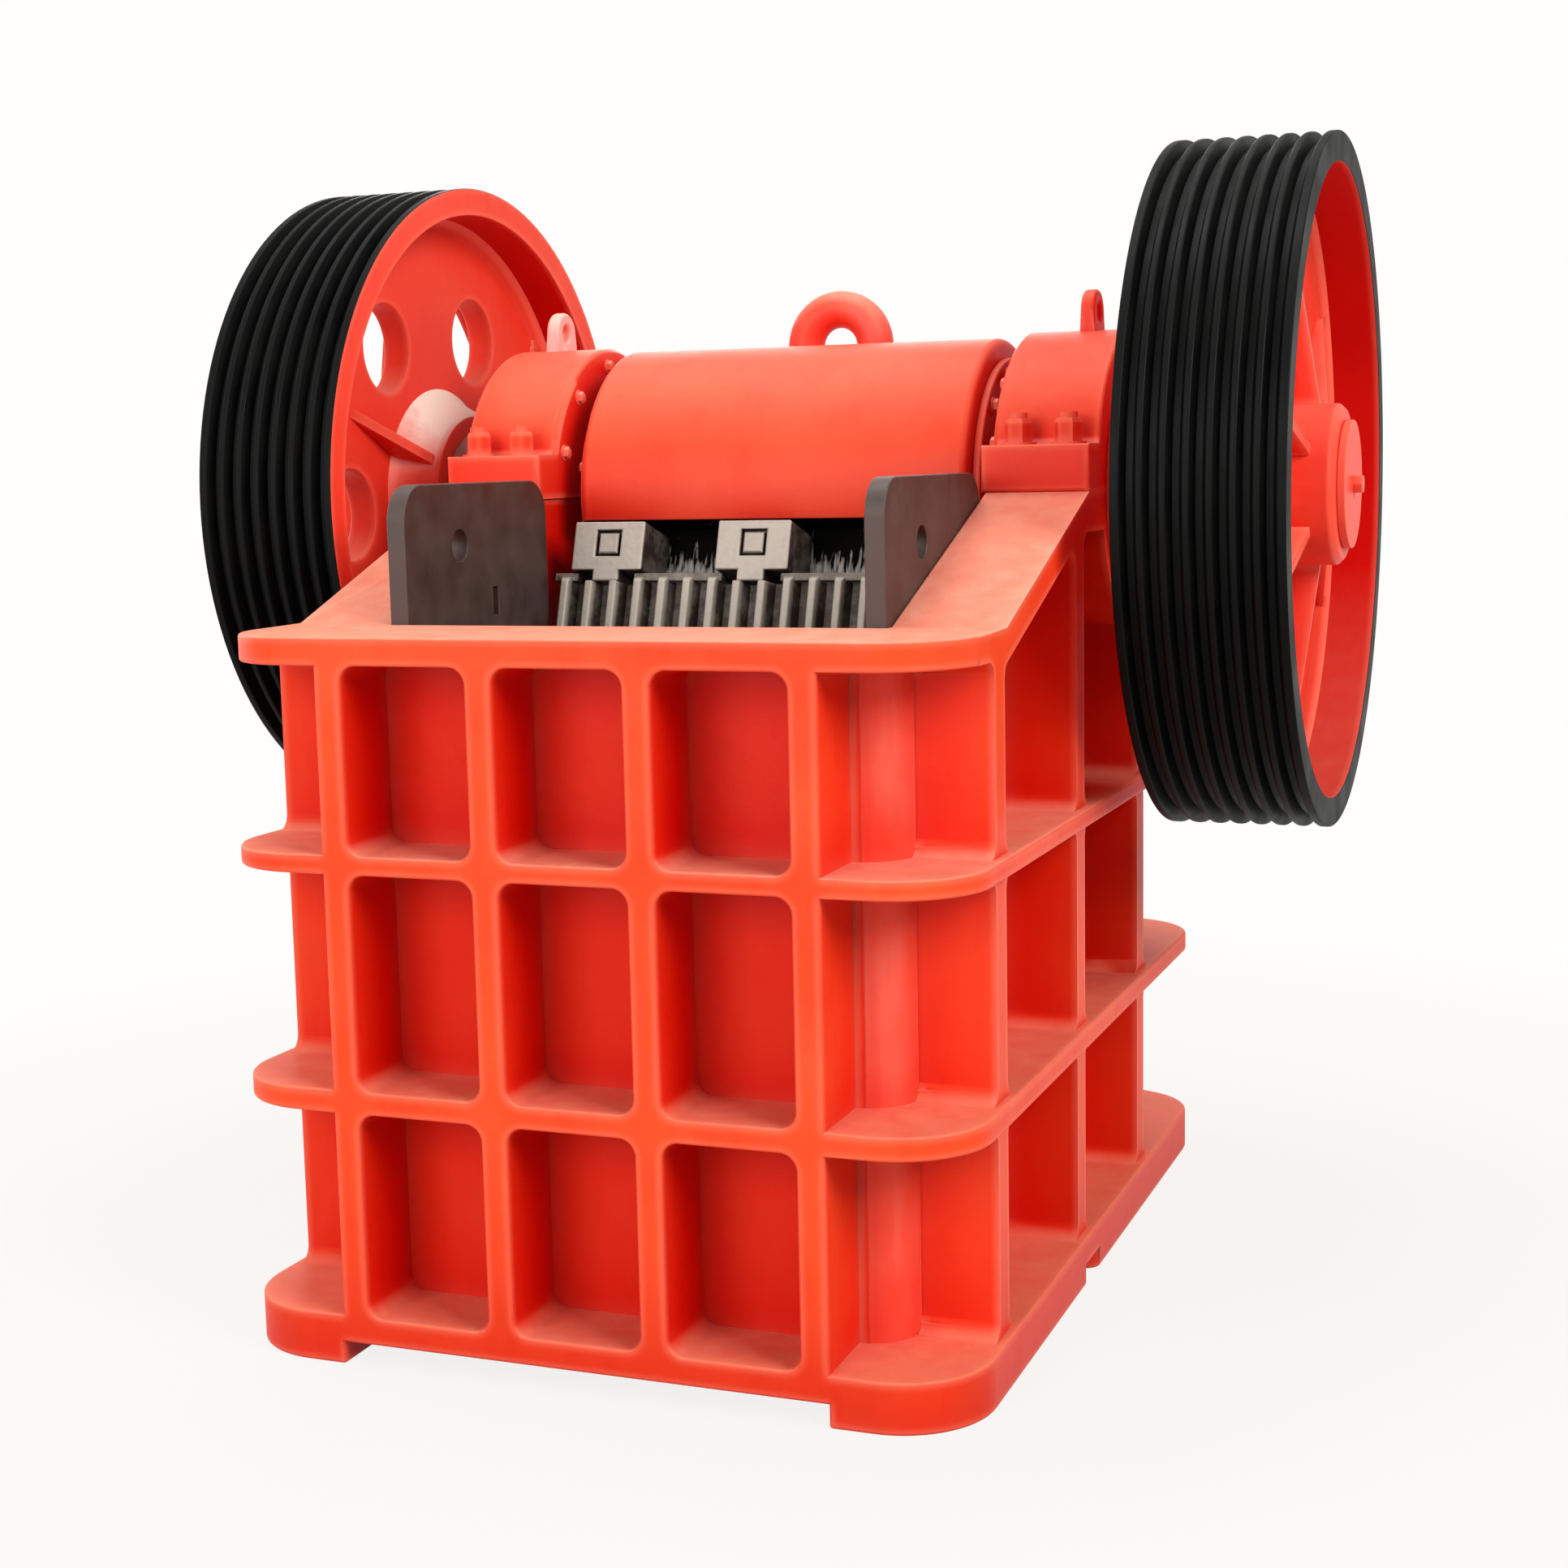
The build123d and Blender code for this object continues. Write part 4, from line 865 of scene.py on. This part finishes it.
def white_sweep():
    """A matt floor that throws light up on the machine and is dark under it.

    In the open it shows white, with a faint shadow near the feet.
    """
    material, tree = new_material("white_sweep")
    spot = add(tree, "ShaderNodeTexCoord").outputs["Object"]
    across = add(tree, "ShaderNodeSeparateXYZ", {0: spot})
    middle_y = (FRONT_Y + FOOT_REAR_Y) / 2
    along = add(tree, "ShaderNodeMath", {0: across.outputs[1], 1: middle_y}, operation="SUBTRACT")
    masks = []
    for offset, half in ((across.outputs[0], FLANGE_HALF), (along.outputs[0], FOOT_REAR_Y - middle_y)):
        distance = add(tree, "ShaderNodeMath", {0: offset}, operation="ABSOLUTE")
        mask = add(tree, "ShaderNodeMapRange", {
            "Value": distance.outputs[0], "From Min": half - UNDER_INSET, "From Max": half - UNDER_END_INSET,
            "To Min": 1.0, "To Max": 0.0})
        masks.append(mask.outputs[0])
    under = add(tree, "ShaderNodeMath", {0: masks[0], 1: masks[1]}, operation="MULTIPLY")
    matt = add(tree, "ShaderNodeBsdfDiffuse", {"Color": linear("#C4C1BC")})
    shown = add(tree, "ShaderNodeEmission", {"Color": linear(STUDIO_WHITE), "Strength": 1.0})
    away = add(tree, "ShaderNodeVectorMath", {0: spot}, operation="LENGTH")
    near = add(tree, "ShaderNodeMapRange", {
        "Value": away.outputs["Value"], "From Min": 0.9, "From Max": 2.4, "To Min": 0.14, "To Max": 0.0})
    lit_share = add(tree, "ShaderNodeMath", {0: under.outputs[0], 1: near.outputs[0]}, operation="MAXIMUM")
    white_share = add(tree, "ShaderNodeMath", {0: 1.0, 1: lit_share.outputs[0]}, operation="SUBTRACT")
    open_floor = add(tree, "ShaderNodeMath", {
        0: white_share.outputs[0], 1: seen_rays(tree)}, operation="MULTIPLY")
    both_ways = add(tree, "ShaderNodeMixShader", {
        0: open_floor.outputs[0], 1: matt.outputs[0], 2: shown.outputs[0]})
    add(tree, "ShaderNodeOutputMaterial", {0: both_ways.outputs[0]})
    return material


def white_world():
    """A world that shows white and gives the machine only a little light."""
    world = bpy.data.worlds.new("studio_world")
    world.use_nodes = True
    tree = world.node_tree
    tree.nodes.clear()
    dim = add(tree, "ShaderNodeBackground", {"Color": linear("#FFFFFF"), "Strength": WORLD_LIGHT})
    white = add(tree, "ShaderNodeBackground", {"Color": linear(STUDIO_WHITE), "Strength": 1.0})
    both_ways = add(tree, "ShaderNodeMixShader", {0: seen_rays(tree), 1: dim.outputs[0], 2: white.outputs[0]})
    add(tree, "ShaderNodeOutputWorld", {0: both_ways.outputs[0]})
    return world


def softbox(name, place, target, size, power):
    """A large square lamp aimed at a point."""
    light = bpy.data.lights.new(name, "AREA")
    light.shape = "SQUARE"
    light.size = size
    light.energy = power
    lamp = in_scene(name, light)
    lamp.location = place
    lamp.rotation_euler = (Vector(target) - Vector(place)).to_track_quat("-Z", "Y").to_euler()


floor_shape = bmesh.new()
bmesh.ops.create_grid(floor_shape, x_segments=1, y_segments=1, size=FLOOR_SIZE)
floor = plain_mesh("studio_floor", floor_shape)
floor.data.materials.append(white_sweep())
bpy.context.scene.world = white_world()

softbox("front_softbox", (-1.4, -5.4, 2.3), (0.0, 0.0, 0.7), size=3.2, power=190)
softbox("side_softbox", (4.4, -2.2, 3.6), (0.2, 0.0, 0.8), size=2.6, power=255)
softbox("top_softbox", (-0.6, 0.2, 5.2), (0.0, 0.1, 0.8), size=3.0, power=110)
softbox("rear_softbox", (-2.4, 5.2, 2.6), (0.0, 0.0, 0.7), size=3.2, power=150)
softbox("left_softbox", (-5.0, 0.6, 2.2), (0.0, 0.2, 0.7), size=3.0, power=120)

ahead = Vector((
    -math.sin(CAMERA_YAW) * math.cos(CAMERA_PITCH), math.cos(CAMERA_YAW) * math.cos(CAMERA_PITCH),
    -math.sin(CAMERA_PITCH)))
right = Vector((math.cos(CAMERA_YAW), math.sin(CAMERA_YAW), 0))
over = right.cross(ahead)
rolled_right = right * math.cos(CAMERA_ROLL) + over * math.sin(CAMERA_ROLL)
rolled_up = over * math.cos(CAMERA_ROLL) - right * math.sin(CAMERA_ROLL)
turned = Matrix((rolled_right, rolled_up, -ahead)).transposed().to_4x4()
camera = in_scene("camera", bpy.data.cameras.new("camera"))
camera.data.lens = CAMERA_LENS
camera.data.sensor_width = CAMERA_SENSOR
camera.matrix_world = Matrix.Translation(CAMERA_PLACE) @ turned
bpy.context.scene.camera = camera
bpy.context.scene.view_settings.view_transform = "Standard"
